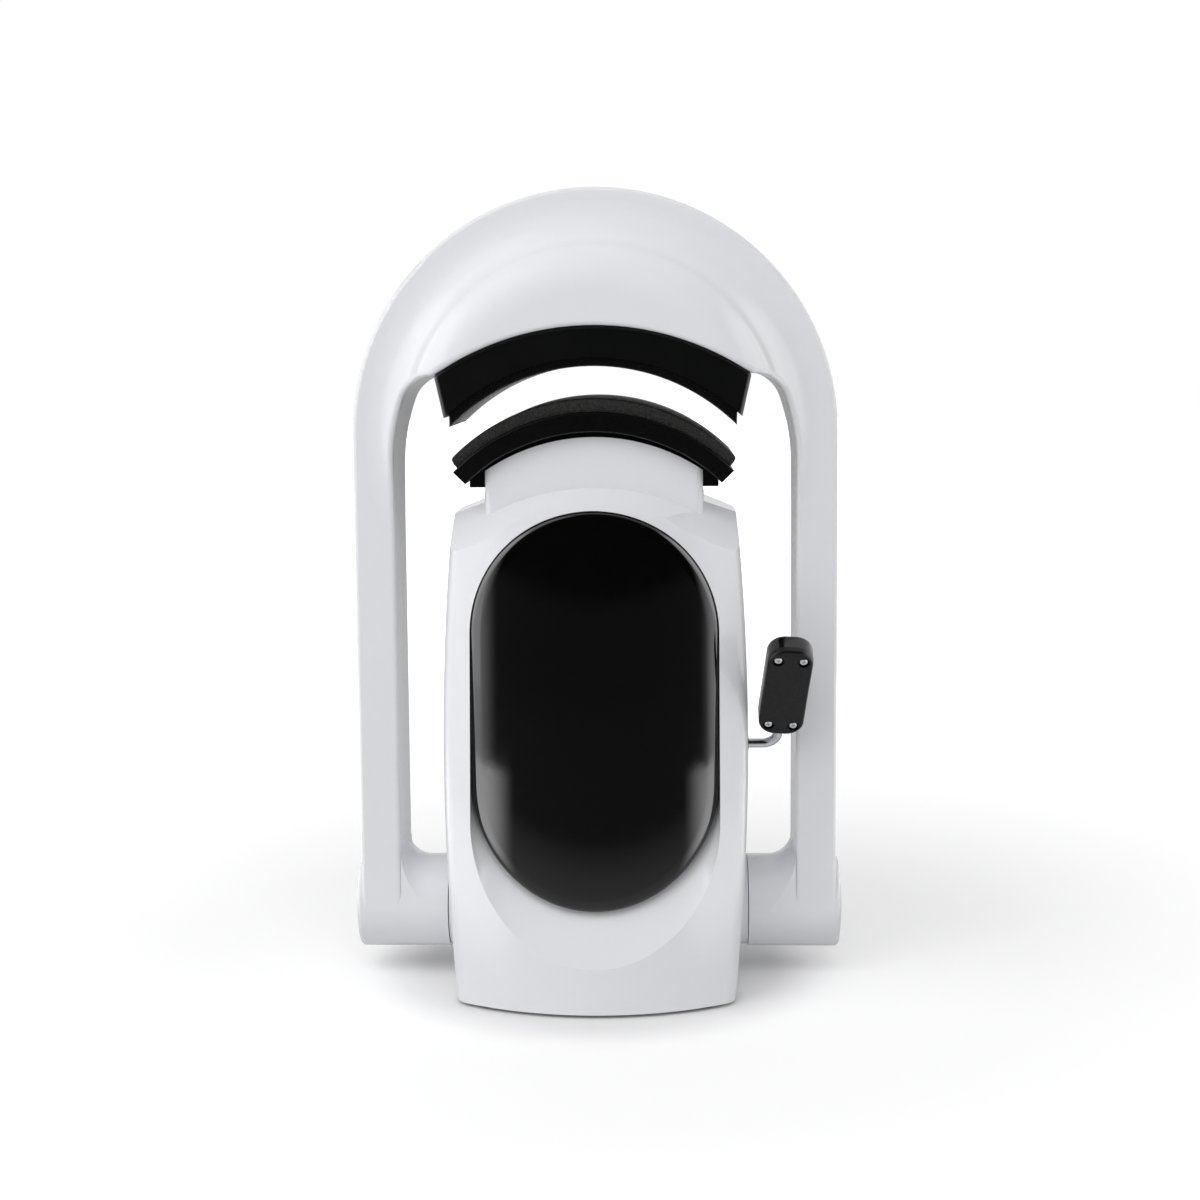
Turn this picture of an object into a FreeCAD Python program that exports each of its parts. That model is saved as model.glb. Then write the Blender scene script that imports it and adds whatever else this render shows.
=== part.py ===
import FreeCAD, Part
import math
import os

V = FreeCAD.Vector
os.makedirs("parts", exist_ok=True)

# Cap heat press. Millimetres, +Z up, front towards -Y, +X to the viewer's right.
# The origin lies on the table, on the plane of symmetry and on the arm's hinge axis.

# Housing of the base: a tall moulding with bellied sides and a bowed, leaning front
housing_base_z = 2.0
housing_wall = 2.8
base_half_width = 75.5
belly_half_width = 83.0
belly_z = 120.0
shoulder_half_width = 77.5
shoulder_z = 262.8
roof_slope = 0.376
front_base_y = -92.0
front_lean = 6.0
front_bow = 135.0
rear_base_y = 92.0
rear_lean = 4.0
rear_bow = 230.0
front_corner_radius = 12.0
rear_corner_radius = 16.0
boss_radius = 5.0
boss_x = 64.0
boss_rib = 2.0
boss_heights = (100.0, 215.0)
boss_reach = 12.0
foot_boss_x = 69.5
foot_boss_y = 40.0
foot_boss_top_z = 30.0
hub_boss_radius = 25.0
hub_boss_x = 84.0
vent_half_width = 25.0
vent_height = 2.5
vent_pitch = 7.0
vent_bottom_z = 188.0
vent_count = 6

# Brow between the panel and the neck, and the bevelled shoulders beside it
brow_radius = 120.5
brow_top_z = 277.8
brow_fall = 0.468
shoulder_bevel_back = (56.0, 264.0)
shoulder_bevel_inner = (50.0, -56.0, 255.0)
shoulder_bevel_outer = (79.0, -41.0, 242.6)

# Neck that the platen block slides in
neck_half_width = 59.5
neck_half_depth = 40.5
neck_wall = 2.5
neck_corner_radius = 4.5
neck_arc_radius = 105.0
neck_arc_top_z = 305.2
neck_side_gap = 2.5

# Glossy panel, and the scoop that it stands in
panel_half_width = 67.0
panel_top_z = 266.8
panel_bottom_z = 52.7
panel_face_y = -65.0
panel_lean = 1.6
panel_bow = 125.0
panel_thickness = 3.5
panel_rim_radius = 1.2
panel_gap = 0.3
ledge_width = 5.0
scoop_bottom_z = 26.0
scoop_rim_radius = 2.0
board_half_width = 35.0
board_bottom_z = 120.0
board_top_z = 200.0
board_face_y = -58.0
board_thickness = 1.6
board_post_radius = 3.0
board_post_inset = 7.0

# Arm: a horseshoe whose legs straddle the base
hub_z = 39.0
leg_outer_half = 133.0
leg_width = 22.5
leg_inner_half = leg_outer_half - leg_width
leg_half_depth = 24.5
arch_centre_z = 307.0
arm_wall = 2.6
arm_edge_radius = 2.4
notch_flank_radius = 110.0
notch_radius = 20.2
crown_half_depth = 54.0
crown_start_radius = 78.0
crown_end_radius = 126.0
hub_radius = 26.0
hub_inner_half = 84.4
hub_flare_z = 66.0
hub_cove_radius = 14.0
hub_window_radius = 15.0
cap_dome = 4.5
cap_spigot = 4.0
cap_gap = 0.15
hub_screw_x = (93.0, 109.0)
hub_screw_y = 18.8
hub_screw_boss_radius = 4.0
arm_boss_radius = 4.5
arm_boss_places = ((0.0, 412.0), (62.0, 400.0), (-62.0, 400.0))
leg_boss_radius = 3.8
leg_boss_x = leg_outer_half - 5.8
leg_boss_heights = (110.0, 240.0)

# Heater under the arch
shroud_top_radius = 151.0
shroud_top_z = 365.2
shroud_bottom_radius = 116.0
shroud_bottom_z = 348.2
shroud_top_half = 85.0
shroud_bottom_half = 80.0
shroud_half_depth = 50.0
shroud_wall = 2.0
shroud_edge_radius = 2.5
heater_radius = 109.0
heater_face_z = 343.4
heater_half_width = 77.3
heater_half_depth = 46.5
heater_thickness = 9.0
element_thickness = 1.5
insulation_thickness = 8.0
insulation_half_width = 73.0
stud_radius = 3.0
stud_x = 40.0
stud_y = 10.0
stud_collar_radius = 5.0
stud_sink = 4.0
stud_nut_across = 10.0
stud_nut_height = 5.0
thermostat_radius = 8.0
thermostat_height = 8.0

# Lower platen: foam, plate and block, each bounded by its own arc
foam_radius = 107.9
foam_top_z = 326.3
foam_top_half = 77.0
foam_under_half = 73.5
foam_edge_radius = 1.0
foam_half_depth = 45.0
plate_radius = 106.2
plate_top_z = 318.6
plate_under_radius = 99.8
plate_under_z = 308.2
plate_top_half = 75.6
plate_under_half = 69.0
plate_half_depth = 47.0
plate_edge_radius = 0.8
block_half_width = 67.5
block_half_depth = 37.2
block_bottom_z = 278.1
block_wall = 5.0
block_rib = 2.5
block_rib_x = (22.0, 46.0)
column_boss_radius = 15.0
column_radius = 10.0
column_seat_z = 290.0
guide_rod_radius = 4.0
guide_rod_x = 30.0
guide_rod_low_z = 190.0
guide_rod_top_z = 296.0
guide_boss_radius = 8.0
platen_screw_y = 26.0
platen_screw_boss_radius = 7.0
spring_wire_radius = 0.7
spring_coil_radius = 5.6
spring_turns = 9
collar_height = 3.0
collar_radius = 6.5
running_clearance = 0.05

# Lever, its cam and the travel that they give
lift = 14.5
lever_turn = 70.0
lever_y = -25.0
lever_z = 134.6
lever_lean = 35.0
lever_splay = 4.5
lever_bend_x = 99.3
lever_bend_radius = 8.0
lever_rod_radius = 2.6
lever_shaft_radius = 6.0
lever_shaft_left_x = -49.0
lever_shaft_right_x = 78.0
lever_rod_seat_x = 58.0
lever_rod_in_grip = 40.0
lever_bush_radius = 4.2
lever_bush_wall = 2.0
lever_collar_x = 36.0
lever_collar_width = 5.0
lever_collar_radius = 10.0
cam_hub_radius = 12.0
follower_half_width = 11.0
follower_front_y = -22.0
follower_rear_y = 14.0
follower_thickness = 6.0
cam_base_height = 14.0
cam_thickness = 14.0
cam_gap = 0.15
cam_lead_in = 8.0
grip_start = 14.5
grip_length = 60.0
grip_width = 24.5
grip_thickness = 14.0
grip_plate_thickness = 4.0
grip_edge_radius = 1.5
grip_screw_spacing_x = 13.5
grip_screw_spacing_z = 48.0
grip_screw_sink = 2.0

# Steel chassis inside the base
chassis_plate = 3.0
chassis_half_width = 46.0
chassis_flange = 15.0
chassis_front_y = -44.0
chassis_rear_y = 52.0
chassis_top_z = 246.0
base_plate_low_z = 2.5
base_plate_thickness = 5.0
base_plate_gap = 0.3
guide_plate_thickness = 4.0
guide_plate_half_depth = 32.0
guide_flange_drop = 14.0
column_bush_radius = 13.0
column_bush_drop = 12.0
rod_bush_radius = 6.0
rod_bush_drop = 6.2
bush_flange = 2.0
foot_radius = 9.0
foot_stem_radius = 4.0
foot_barb_radius = 5.5
foot_x = 56.0
foot_front_y = -66.0
foot_rear_y = 70.0

# Hinge of the arm
hub_shaft_radius = 8.0
hub_bush_wall = 2.0
hub_bush_length = 14.0
sleeve_wall = 4.0
sleeve_inner_x = 87.6
spacer_wall = 4.0
washer_thickness = 1.4
washer_gap = 0.1
frame_eye_radius = 18.0
frame_bar_width = 36.0
frame_bar_thickness = 6.0
frame_bar_inset = 10.0
frame_bar_outer_half = leg_outer_half - frame_bar_inset
frame_knee_z = 326.0
frame_bridge_z = 385.0
frame_bridge_half = 80.0
frame_bend_radius = 22.0
nut_across = 24.0
nut_height = 7.0
shaft_half_length = leg_outer_half - 1.5

# Rear bay with the power inlet and the rocker switch
bay_left_x = -52.0
bay_right_x = 48.0
bay_low_z = 24.0
bay_top_z = 60.0
bay_floor_y = 80.0
inlet_x = -30.0
switch_x = 22.0
socket_z = 42.0
bezel_depth = 2.0
inlet_half_width = 13.5
inlet_half_height = 9.75
inlet_depth = 20.0
inlet_wall = 1.5
inlet_mouth_depth = 16.0
bezel_lip = 2.3
pin_half_width = 1.0
pin_half_height = 2.0
pin_length = 15.0
pin_tail = 8.0
switch_half_width = 7.4
switch_half_height = 10.3
switch_wall = 1.3
switch_depth = 14.0
switch_lip = 1.5
rocker_pivot_y = 77.0
rocker_pin_radius = 1.2
rocker_half_height = 8.6
rocker_side_gap = 0.2
rocker_turn = 16.0

# Small screws, named by the radius of the shank
screw_head_ratio = 1.9
screw_head_height_ratio = 1.1
board_screw_radius = 1.2
shell_screw_radius = 1.5
chassis_screw_radius = 2.0
power_board_z = 13.5


def box(x0, x1, y0, y1, z0, z1):
    """Solid block between two corners."""
    return Part.makeBox(x1 - x0, y1 - y0, z1 - z0, V(x0, y0, z0))


def rod_x(x0, x1, y, z, radius):
    """Cylinder along X."""
    return Part.makeCylinder(radius, x1 - x0, V(x0, y, z), V(1, 0, 0))


def rod_y(y0, y1, x, z, radius):
    """Cylinder along Y."""
    return Part.makeCylinder(radius, y1 - y0, V(x, y0, z), V(0, 1, 0))


def rod_z(z0, z1, x, y, radius):
    """Cylinder along Z."""
    return Part.makeCylinder(radius, z1 - z0, V(x, y, z0))


def line(a, b):
    """Straight edge."""
    return Part.LineSegment(V(*a), V(*b)).toShape()


def arc(a, middle, b):
    """Circular edge through three points."""
    return Part.Arc(V(*a), V(*middle), V(*b)).toShape()


def face_of(edges):
    """Flat face inside a closed loop of edges."""
    return Part.Face(Part.Wire(edges))


def mirror_x(shape):
    """Copy on the other side of the plane X = 0."""
    return shape.mirror(V(0, 0, 0), V(1, 0, 0))


def mirror_y(shape):
    """Copy on the other side of the plane Y = 0."""
    return shape.mirror(V(0, 0, 0), V(0, 1, 0))


def arc_height(radius, top_z, x):
    """Height at x of an arc of the given radius whose crown is at top_z."""
    return top_z - radius + math.sqrt(radius * radius - x * x)


def half_space(points, reach):
    """Thick slab on the far side of the plane through three points, seen from the origin."""
    first, second, third = [V(*point) for point in points]
    normal = (second - first).cross(third - first)
    normal.normalize()
    if normal.dot(first) < 0:
        normal = normal * -1.0
    side = (second - first).normalize()
    across = normal.cross(side)
    corner = first - side * reach - across * reach
    plane = Part.makePlane(2 * reach, 2 * reach, corner, normal, side)
    if (plane.CenterOfMass - first).Length > 1.0:
        plane.translate(first - plane.CenterOfMass)
    return plane.extrude(normal * reach)


def bowed_block(base_y, lean, bow, depth, z0, z1, forward):
    """Block bounded by a leaning, bowed wall: forward is -1 for a front and +1 for a rear."""
    half = 0.8 * bow
    rise = math.tan(math.radians(lean))
    start_y = base_y - forward * rise * z0
    sag = bow - math.sqrt(bow * bow - half * half)
    edge_y = start_y - forward * sag
    back_y = start_y - forward * depth
    section = face_of([
        arc((-half, edge_y, z0), (0, start_y, z0), (half, edge_y, z0)),
        line((half, edge_y, z0), (half, back_y, z0)),
        line((half, back_y, z0), (-half, back_y, z0)),
        line((-half, back_y, z0), (-half, edge_y, z0)),
    ])
    return section.extrude(V(0, -forward * rise * (z1 - z0), z1 - z0))


def edges_where(shape, test):
    """Edges of a shape whose bounding box passes a test."""
    return [edge for edge in shape.Edges if test(edge.BoundBox, edge)]


def stadium(half_width, bottom_z, top_z, y, grow=0.0):
    """Wire in a plane of constant Y: two straight sides and two half circles."""
    half = half_width + grow
    low = bottom_z + half_width
    high = top_z - half_width
    return Part.Wire([
        line((half, y, low), (half, y, high)),
        arc((half, y, high), (0, y, high + half), (-half, y, high)),
        line((-half, y, high), (-half, y, low)),
        arc((-half, y, low), (0, y, low - half), (half, y, low)),
    ])


def housing_form(inset):
    """Closed form of the base housing, shrunk by the inset on every side but the bottom."""
    low = housing_base_z - inset
    roof_end = shoulder_z + roof_slope * shoulder_half_width - inset / math.cos(math.atan(roof_slope))
    base_half = base_half_width - inset
    belly_half = belly_half_width - inset
    shoulder_half = shoulder_half_width - inset
    corner_z = roof_end - roof_slope * shoulder_half
    base_z = housing_base_z if inset == 0 else low
    front_view = face_of([
        line((-base_half, 0, base_z), (base_half, 0, base_z)),
        arc((base_half, 0, base_z), (belly_half, 0, belly_z), (shoulder_half, 0, corner_z)),
        line((shoulder_half, 0, corner_z), (0, 0, roof_end)),
        line((0, 0, roof_end), (-shoulder_half, 0, corner_z)),
        arc((-shoulder_half, 0, corner_z), (-belly_half, 0, belly_z), (-base_half, 0, base_z)),
    ])
    front_view.translate(V(0, 2 * front_base_y, 0))
    form = front_view.extrude(V(0, 2 * (rear_base_y - front_base_y), 0))
    reach = 3 * (rear_base_y - front_base_y)
    below = -20.0
    above = 1.3 * shoulder_z
    front_y = front_base_y + inset / math.cos(math.radians(front_lean))
    rear_y = rear_base_y - inset / math.cos(math.radians(rear_lean))
    form = form.common(bowed_block(front_y, front_lean, front_bow - inset, reach, below, above, -1))
    form = form.common(bowed_block(rear_y, rear_lean, rear_bow - inset, reach, below, above, 1))
    tall = edges_where(form, lambda b, e: b.ZLength > 0.8 * shoulder_z)
    front_tall = [edge for edge in tall if edge.CenterOfMass.y < 0]
    rear_tall = [edge for edge in tall if edge.CenterOfMass.y > 0]
    form = form.makeFillet(front_corner_radius - inset, front_tall)
    rear_tall = [
        edge for edge in edges_where(form, lambda b, e: b.ZLength > 0.8 * shoulder_z)
        if any(edge.CenterOfMass.distanceToPoint(old.CenterOfMass) < 1.0 for old in rear_tall)
    ]
    form = form.makeFillet(rear_corner_radius - inset, rear_tall)
    for cutter in brow_cutters(inset) + shoulder_cutters(inset):
        form = form.cut(cutter)
    return form


def brow_cutters(inset):
    """Space above the sloping brow in front of the neck, and the same behind it."""
    radius = brow_radius - inset
    top = brow_top_z - inset
    half = 0.85 * radius
    reach = 90.0
    high = brow_top_z + 60.0
    start = -neck_half_depth
    end_z = arc_height(radius, top, half)
    section = face_of([
        arc((-half, start, end_z), (0, start, top), (half, start, end_z)),
        line((half, start, end_z), (half, start, high)),
        line((half, start, high), (-half, start, high)),
        line((-half, start, high), (-half, start, end_z)),
    ])
    front = section.extrude(V(0, -reach, -reach * brow_fall))
    return [front, mirror_y(front)]


def shoulder_cutters(inset):
    """Space above the four bevelled shoulders."""
    back_x, back_z = shoulder_bevel_back
    corners = [(back_x, -neck_half_depth, back_z), shoulder_bevel_inner, shoulder_bevel_outer]
    slab = half_space(corners, 150.0)
    if inset:
        first, second, third = [V(*corner) for corner in corners]
        normal = (second - first).cross(third - first)
        normal.normalize()
        if normal.z < 0:
            normal = normal * -1.0
        slab.translate(normal * -inset)
    return [slab, mirror_x(slab), mirror_y(slab), mirror_y(mirror_x(slab))]


def neck_prism(inset, low):
    """Upright tube of the neck, with rounded corners."""
    half_x = neck_half_width - inset
    half_y = neck_half_depth - inset
    prism = box(-half_x, half_x, -half_y, half_y, low, neck_arc_top_z + 10.0)
    upright = edges_where(prism, lambda b, e: b.ZLength > 10.0)
    return prism.makeFillet(neck_corner_radius - inset, upright)


def neck_top_cutter():
    """Space above the arched rims of the neck, and above its low sides."""
    high = neck_arc_top_z + 30.0
    half = neck_half_width + 5.0
    end_z = arc_height(neck_arc_radius, neck_arc_top_z, half)
    deep = neck_half_depth + 5.0
    section = face_of([
        arc((-half, -deep, end_z), (0, -deep, neck_arc_top_z), (half, -deep, end_z)),
        line((half, -deep, end_z), (half, -deep, high)),
        line((half, -deep, high), (-half, -deep, high)),
        line((-half, -deep, high), (-half, -deep, end_z)),
    ])
    above = section.extrude(V(0, 2 * deep, 0))
    slot_half = neck_half_depth - neck_wall
    sides = box(-half, half, -slot_half, slot_half, block_bottom_z - neck_side_gap, high)
    return above.fuse(sides)


def panel_wall(offset):
    """Block behind the panel's bowed face, moved back by the offset."""
    rise = math.tan(math.radians(panel_lean))
    base_y = panel_face_y - rise * panel_top_z + offset
    return bowed_block(base_y, panel_lean, panel_bow - offset, 200.0, -20.0, 330.0, -1)


def bowed_face(grow):
    """Front face of the panel, grown by a margin all round."""
    outline = Part.Face(stadium(panel_half_width, panel_bottom_z, panel_top_z, 0, grow))
    solid = outline.extrude(V(0, 2 * front_base_y, 0)).common(panel_wall(0.0))
    fronts = [face for face in solid.Faces if face.Area > 0.5 * outline.Area]
    return min(fronts, key=lambda face: face.CenterOfMass.y)


def scoop_form(grow, depth):
    """Recess for the panel: straight behind the panel's face, a sloping scoop in front of it."""
    outline = Part.Face(stadium(panel_half_width, panel_bottom_z, panel_top_z, 0, grow))
    straight = outline.extrude(V(0, 2 * front_base_y, 0)).cut(panel_wall(depth))
    lip_y = panel_face_y - math.tan(math.radians(panel_lean)) * (panel_top_z - panel_bottom_z)
    mouth_y = front_base_y + math.tan(math.radians(front_lean)) * scoop_bottom_z
    reach = 1.6
    run = V(0, reach * (mouth_y - lip_y), reach * (scoop_bottom_z - panel_bottom_z))
    return straight.fuse(bowed_face(grow).extrude(run))


def side_bosses(forward):
    """Screw bosses between the front and the rear shell; forward is -1 for the front shell."""
    reach = boss_reach if forward < 0 else rear_base_y
    bosses = []
    for side in (-1, 1):
        for z in boss_heights:
            start = -reach if forward < 0 else 0.0
            tube = rod_y(start, start + reach, side * boss_x, z, boss_radius)
            low_x, high_x = sorted((side * boss_x, side * (belly_half_width - 1.0)))
            rib = box(low_x, high_x, start, start + reach, z - boss_rib / 2, z + boss_rib / 2)
            bosses.append(tube.fuse(rib))
    return bosses


def side_screw_holes():
    """Pilot holes in the front bosses, and deep counterbores from the rear."""
    holes = []
    head = shell_screw_radius * screw_head_ratio + 0.4
    for side in (-1, 1):
        for z in boss_heights:
            holes.append(rod_y(-boss_reach, boss_reach, side * boss_x, z, shell_screw_radius))
            holes.append(rod_y(boss_reach, 2 * rear_base_y, side * boss_x, z, head))
    return holes


def foot_bosses():
    """Screw bosses that stand on the base plate."""
    low = base_plate_low_z + base_plate_thickness
    places = [(x, y) for x in (-foot_boss_x, foot_boss_x) for y in (-foot_boss_y, foot_boss_y)]
    return [rod_z(low, foot_boss_top_z, x, y, boss_radius) for x, y in places]


def base_screw_places():
    """Centres of the screws that hold the housing to the base plate."""
    return [(x, y) for x in (-foot_boss_x, foot_boss_x) for y in (-foot_boss_y, foot_boss_y)]


def hub_boss(side, radius, end_x):
    """Round boss on the side of the housing at the hinge."""
    low_x, high_x = sorted((side * 70.0, side * end_x))
    return rod_x(low_x, high_x, 0, hub_z, radius)


def housing_shells():
    """Front and rear mouldings of the base, split on the hinge plane."""
    skirt_z = brow_top_z - 30.0
    body = housing_form(0.0).fuse(neck_prism(0.0, skirt_z))
    for side in (-1, 1):
        body = body.fuse(hub_boss(side, hub_boss_radius, hub_boss_x))
    body = body.cut(scoop_form(panel_gap, panel_thickness))
    pocket = scoop_form(panel_gap + housing_wall, panel_thickness + housing_wall)
    hollow = housing_form(housing_wall)
    for side in (-1, 1):
        hollow = hollow.fuse(hub_boss(side, hub_boss_radius - housing_wall, hub_boss_x - housing_wall))
    bay_wall = box(bay_left_x - housing_wall, bay_right_x + housing_wall, bay_floor_y - housing_wall,
                   2 * rear_base_y, bay_low_z - housing_wall, bay_top_z + housing_wall)
    hollow = hollow.cut(pocket).cut(bay_wall).cut(neck_prism(0.0, skirt_z))
    shell = body.cut(hollow).cut(neck_prism(neck_wall, skirt_z - 5.0))
    window = stadium(panel_half_width, panel_bottom_z, panel_top_z, 0, panel_gap - ledge_width)
    shell = shell.cut(Part.Face(window).extrude(V(0, 2 * front_base_y, 0)))
    shell = shell.cut(neck_top_cutter())
    shell = shell.fuse([boss.common(housing_form(1.0)) for boss in foot_bosses()])
    shell = shell.fuse([boss.common(housing_form(1.0)) for boss in side_bosses(-1) + side_bosses(1)])
    cuts = side_screw_holes()
    cuts.append(box(bay_left_x, bay_right_x, bay_floor_y, 2 * rear_base_y, bay_low_z, bay_top_z))
    cuts.append(socket_block(inlet_x, inlet_half_width, inlet_half_height, bay_floor_y - 10, bay_floor_y + 1))
    cuts.append(socket_block(switch_x, switch_half_width, switch_half_height, bay_floor_y - 10,
                             bay_floor_y + 1))
    cuts.append(rod_x(-100, 100, 0, hub_z, hub_shaft_radius + spacer_wall + 0.5))
    cuts.append(rod_x(70, 100, lever_y, lever_z, lever_bush_radius))
    for x, y in base_screw_places():
        cuts.append(rod_z(0, foot_boss_top_z - 3.0, x, y, shell_screw_radius))
    for slot in range(vent_count):
        z = vent_bottom_z + slot * vent_pitch
        cuts.append(box(-vent_half_width, vent_half_width, 0.5 * rear_base_y, 2 * rear_base_y, z,
                        z + vent_height))
    shell = shell.cut(cuts)
    front = shell.common(box(-200, 200, -200, 0, -10, 400))
    rear = shell.common(box(-200, 200, 0, 200, -10, 400))
    return front, rear


def board_post_places():
    """Centres of the posts behind the panel that carry the display board."""
    x = board_half_width - board_post_inset
    heights = (board_bottom_z + board_post_inset, board_top_z - board_post_inset)
    return [(side * x, z) for side in (-1, 1) for z in heights]


def panel():
    """Bowed glossy panel with a rounded rim, and four posts behind it."""
    outline = Part.Face(stadium(panel_half_width, panel_bottom_z, panel_top_z, 0))
    plate = outline.extrude(V(0, 2 * front_base_y, 0))
    plate = plate.common(panel_wall(0.0)).cut(panel_wall(panel_thickness))
    front = min(plate.Faces, key=lambda face: face.CenterOfMass.y)
    plate = plate.makeFillet(panel_rim_radius, front.Edges)
    posts = [rod_y(-90, board_face_y, x, z, board_post_radius) for x, z in board_post_places()]
    posts = [post.common(panel_wall(1.0)) for post in posts]
    holes = [rod_y(board_face_y - 5.0, board_face_y, x, z, board_screw_radius)
             for x, z in board_post_places()]
    return plate.fuse(posts).cut(holes)


def display_board():
    """Circuit board on the posts behind the panel."""
    board = box(-board_half_width, board_half_width, board_face_y, board_face_y + board_thickness,
                board_bottom_z, board_top_z)
    holes = [rod_y(board_face_y - 1, board_face_y + 3, x, z, board_screw_radius)
             for x, z in board_post_places()]
    chips = [
        box(-12, 12, board_face_y + board_thickness, board_face_y + board_thickness + 2.0, 165, 189),
        box(-24, -10, board_face_y + board_thickness, board_face_y + board_thickness + 4.0, 128, 136),
    ]
    return board.cut(holes).fuse(chips)


def screw(radius, length, place, direction):
    """Pan-head screw: the point where the head meets the work, and the way the shank points."""
    start = V(*place)
    way = V(*direction)
    shank = Part.makeCylinder(radius, length, start, way)
    height = radius * screw_head_height_ratio
    head = Part.makeCylinder(radius * screw_head_ratio, height, start - way * height, way)
    rim = max(head.Edges, key=lambda edge: -(edge.CenterOfMass - start).dot(way) if edge.Closed else -1000.0)
    head = head.makeFillet(0.45 * height, [rim])
    return shank.fuse(head)


def hex_nut(across, start, way, height, bore):
    """Hexagonal nut from a point along a direction."""
    radius = across / math.sqrt(3.0)
    up = V(*way)
    side = V(0, 0, 1) if abs(up.z) < 0.5 else V(1, 0, 0)
    other = up.cross(side)
    points = []
    for corner in range(7):
        angle = math.radians(60 * corner)
        points.append(V(*start) + side * (radius * math.cos(angle)) + other * (radius * math.sin(angle)))
    prism = Part.Face(Part.makePolygon(points)).extrude(up * height)
    return prism.cut(Part.makeCylinder(bore, height, V(*start), up))


def tube_x(x0, x1, y, z, outer, inner):
    """Ring or tube along X; the ends may be given in either order."""
    low_x, high_x = sorted((x0, x1))
    return rod_x(low_x, high_x, y, z, outer).cut(rod_x(low_x, high_x, y, z, inner))


def tube_z(z0, z1, x, y, outer, inner):
    """Ring or tube along Z."""
    return rod_z(z0, z1, x, y, outer).cut(rod_z(z0, z1, x, y, inner))


def both_sides(shape):
    """A shape and its mirror image across the plane X = 0."""
    return Part.makeCompound([shape, mirror_x(shape)])


def sharp_edges(shape, test):
    """Edges at which two faces meet at a real corner, and whose bounding box passes a test."""
    chosen = []
    for edge in shape.Edges:
        faces = shape.ancestorsOfType(edge, Part.Face)
        if len(faces) != 2 or not test(edge.BoundBox):
            continue
        middle = edge.valueAt(0.5 * (edge.FirstParameter + edge.LastParameter))
        normals = [face.normalAt(*face.Surface.parameter(middle)) for face in faces]
        if normals[0].getAngle(normals[1]) > math.radians(20):
            chosen.append(edge)
    return chosen


def circle_crossing(first, radius_a, second, radius_b, near):
    """Crossing of two circles in the XZ plane that lies nearest to a point."""
    dx = second[0] - first[0]
    dz = second[1] - first[1]
    gap = math.hypot(dx, dz)
    along = (gap * gap + radius_a * radius_a - radius_b * radius_b) / (2 * gap)
    side = math.sqrt(radius_a * radius_a - along * along)
    foot = (first[0] + along * dx / gap, first[1] + along * dz / gap)
    options = [
        (foot[0] - side * dz / gap, foot[1] + side * dx / gap),
        (foot[0] + side * dz / gap, foot[1] - side * dx / gap),
    ]
    return min(options, key=lambda p: math.hypot(p[0] - near[0], p[1] - near[1]))


def on_circle(centre, radius, angle):
    """Point of a circle in the XZ plane, at Y = 0."""
    return (centre[0] + radius * math.cos(angle), 0, centre[1] + radius * math.sin(angle))


def arm_outline(inset):
    """Front view of the arm: two legs, the arch, and a flared notch beside the heater."""
    rim = leg_outer_half - inset
    leg = leg_inner_half + inset
    under = shroud_top_radius + inset
    under_centre = (0.0, shroud_top_z - shroud_top_radius)
    corner = (shroud_top_half, arc_height(shroud_top_radius, shroud_top_z, shroud_top_half))
    notch = (corner[0], corner[1] - notch_radius)
    flank_x = leg_inner_half - notch_flank_radius
    spread = notch_flank_radius - notch_radius
    flank = (flank_x, notch[1] - math.sqrt(spread ** 2 - (notch[0] - flank_x) ** 2))
    blend = math.atan2(notch[1] - flank[1], notch[0] - flank[0])
    crest = circle_crossing(notch, notch_radius + inset, under_centre, under, corner)
    crest_angle = math.atan2(crest[1] - notch[1], crest[0] - notch[0])
    right = [
        line((rim, 0, hub_z), (rim, 0, arch_centre_z)),
    ]
    inner = [
        line((leg, 0, hub_z), (leg, 0, flank[1])),
        arc((leg, 0, flank[1]), on_circle(flank, notch_flank_radius + inset, blend / 2),
            on_circle(flank, notch_flank_radius + inset, blend)),
        arc(on_circle(flank, notch_flank_radius + inset, blend),
            on_circle(notch, notch_radius + inset, (blend + crest_angle) / 2),
            (crest[0], 0, crest[1])),
    ]
    crown = arc((rim, 0, arch_centre_z), (0, 0, arch_centre_z + rim), (-rim, 0, arch_centre_z))
    vault = arc((crest[0], 0, crest[1]), (0, 0, under_centre[1] + under), (-crest[0], 0, crest[1]))
    ends = [line((leg, 0, hub_z), (rim, 0, hub_z)), line((-leg, 0, hub_z), (-rim, 0, hub_z))]
    half = right + inner
    edges = half + [mirror_x(edge) for edge in half] + [crown, vault] + ends
    return face_of(Part.__sortEdges__(edges))


def crown_block(inset):
    """Turned solid that gives the arm its depth: full round the heater, slim at the legs."""
    run = crown_end_radius - crown_start_radius
    fall = crown_half_depth - leg_half_depth
    bend = (run * run + fall * fall) / (4 * fall)
    high = (crown_start_radius, bend - crown_half_depth)
    low = (crown_end_radius, -leg_half_depth - bend)
    turn = math.atan2(low[1] - high[1], low[0] - high[0])
    start = -math.pi / 2

    def point(centre, radius, angle):
        return (centre[0] + radius * math.cos(angle), centre[1] + radius * math.sin(angle), arch_centre_z)

    convex = bend - inset
    hollow = bend + inset
    reach = 2.0 * arch_centre_z
    first = point(high, convex, start)
    middle = point(high, convex, turn)
    last = point(low, hollow, math.pi / 2)
    section = face_of([
        line((0, 0, arch_centre_z), (0, first[1], arch_centre_z)),
        line((0, first[1], arch_centre_z), first),
        arc(first, point(high, convex, (start + turn) / 2), middle),
        arc(middle, point(low, hollow, (turn + math.pi + math.pi / 2) / 2), last),
        line(last, (reach, last[1], arch_centre_z)),
        line((reach, last[1], arch_centre_z), (reach, 0, arch_centre_z)),
        line((reach, 0, arch_centre_z), (0, 0, arch_centre_z)),
    ])
    return section.revolve(V(0, 0, arch_centre_z), V(0, 1, 0), 360)


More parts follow.
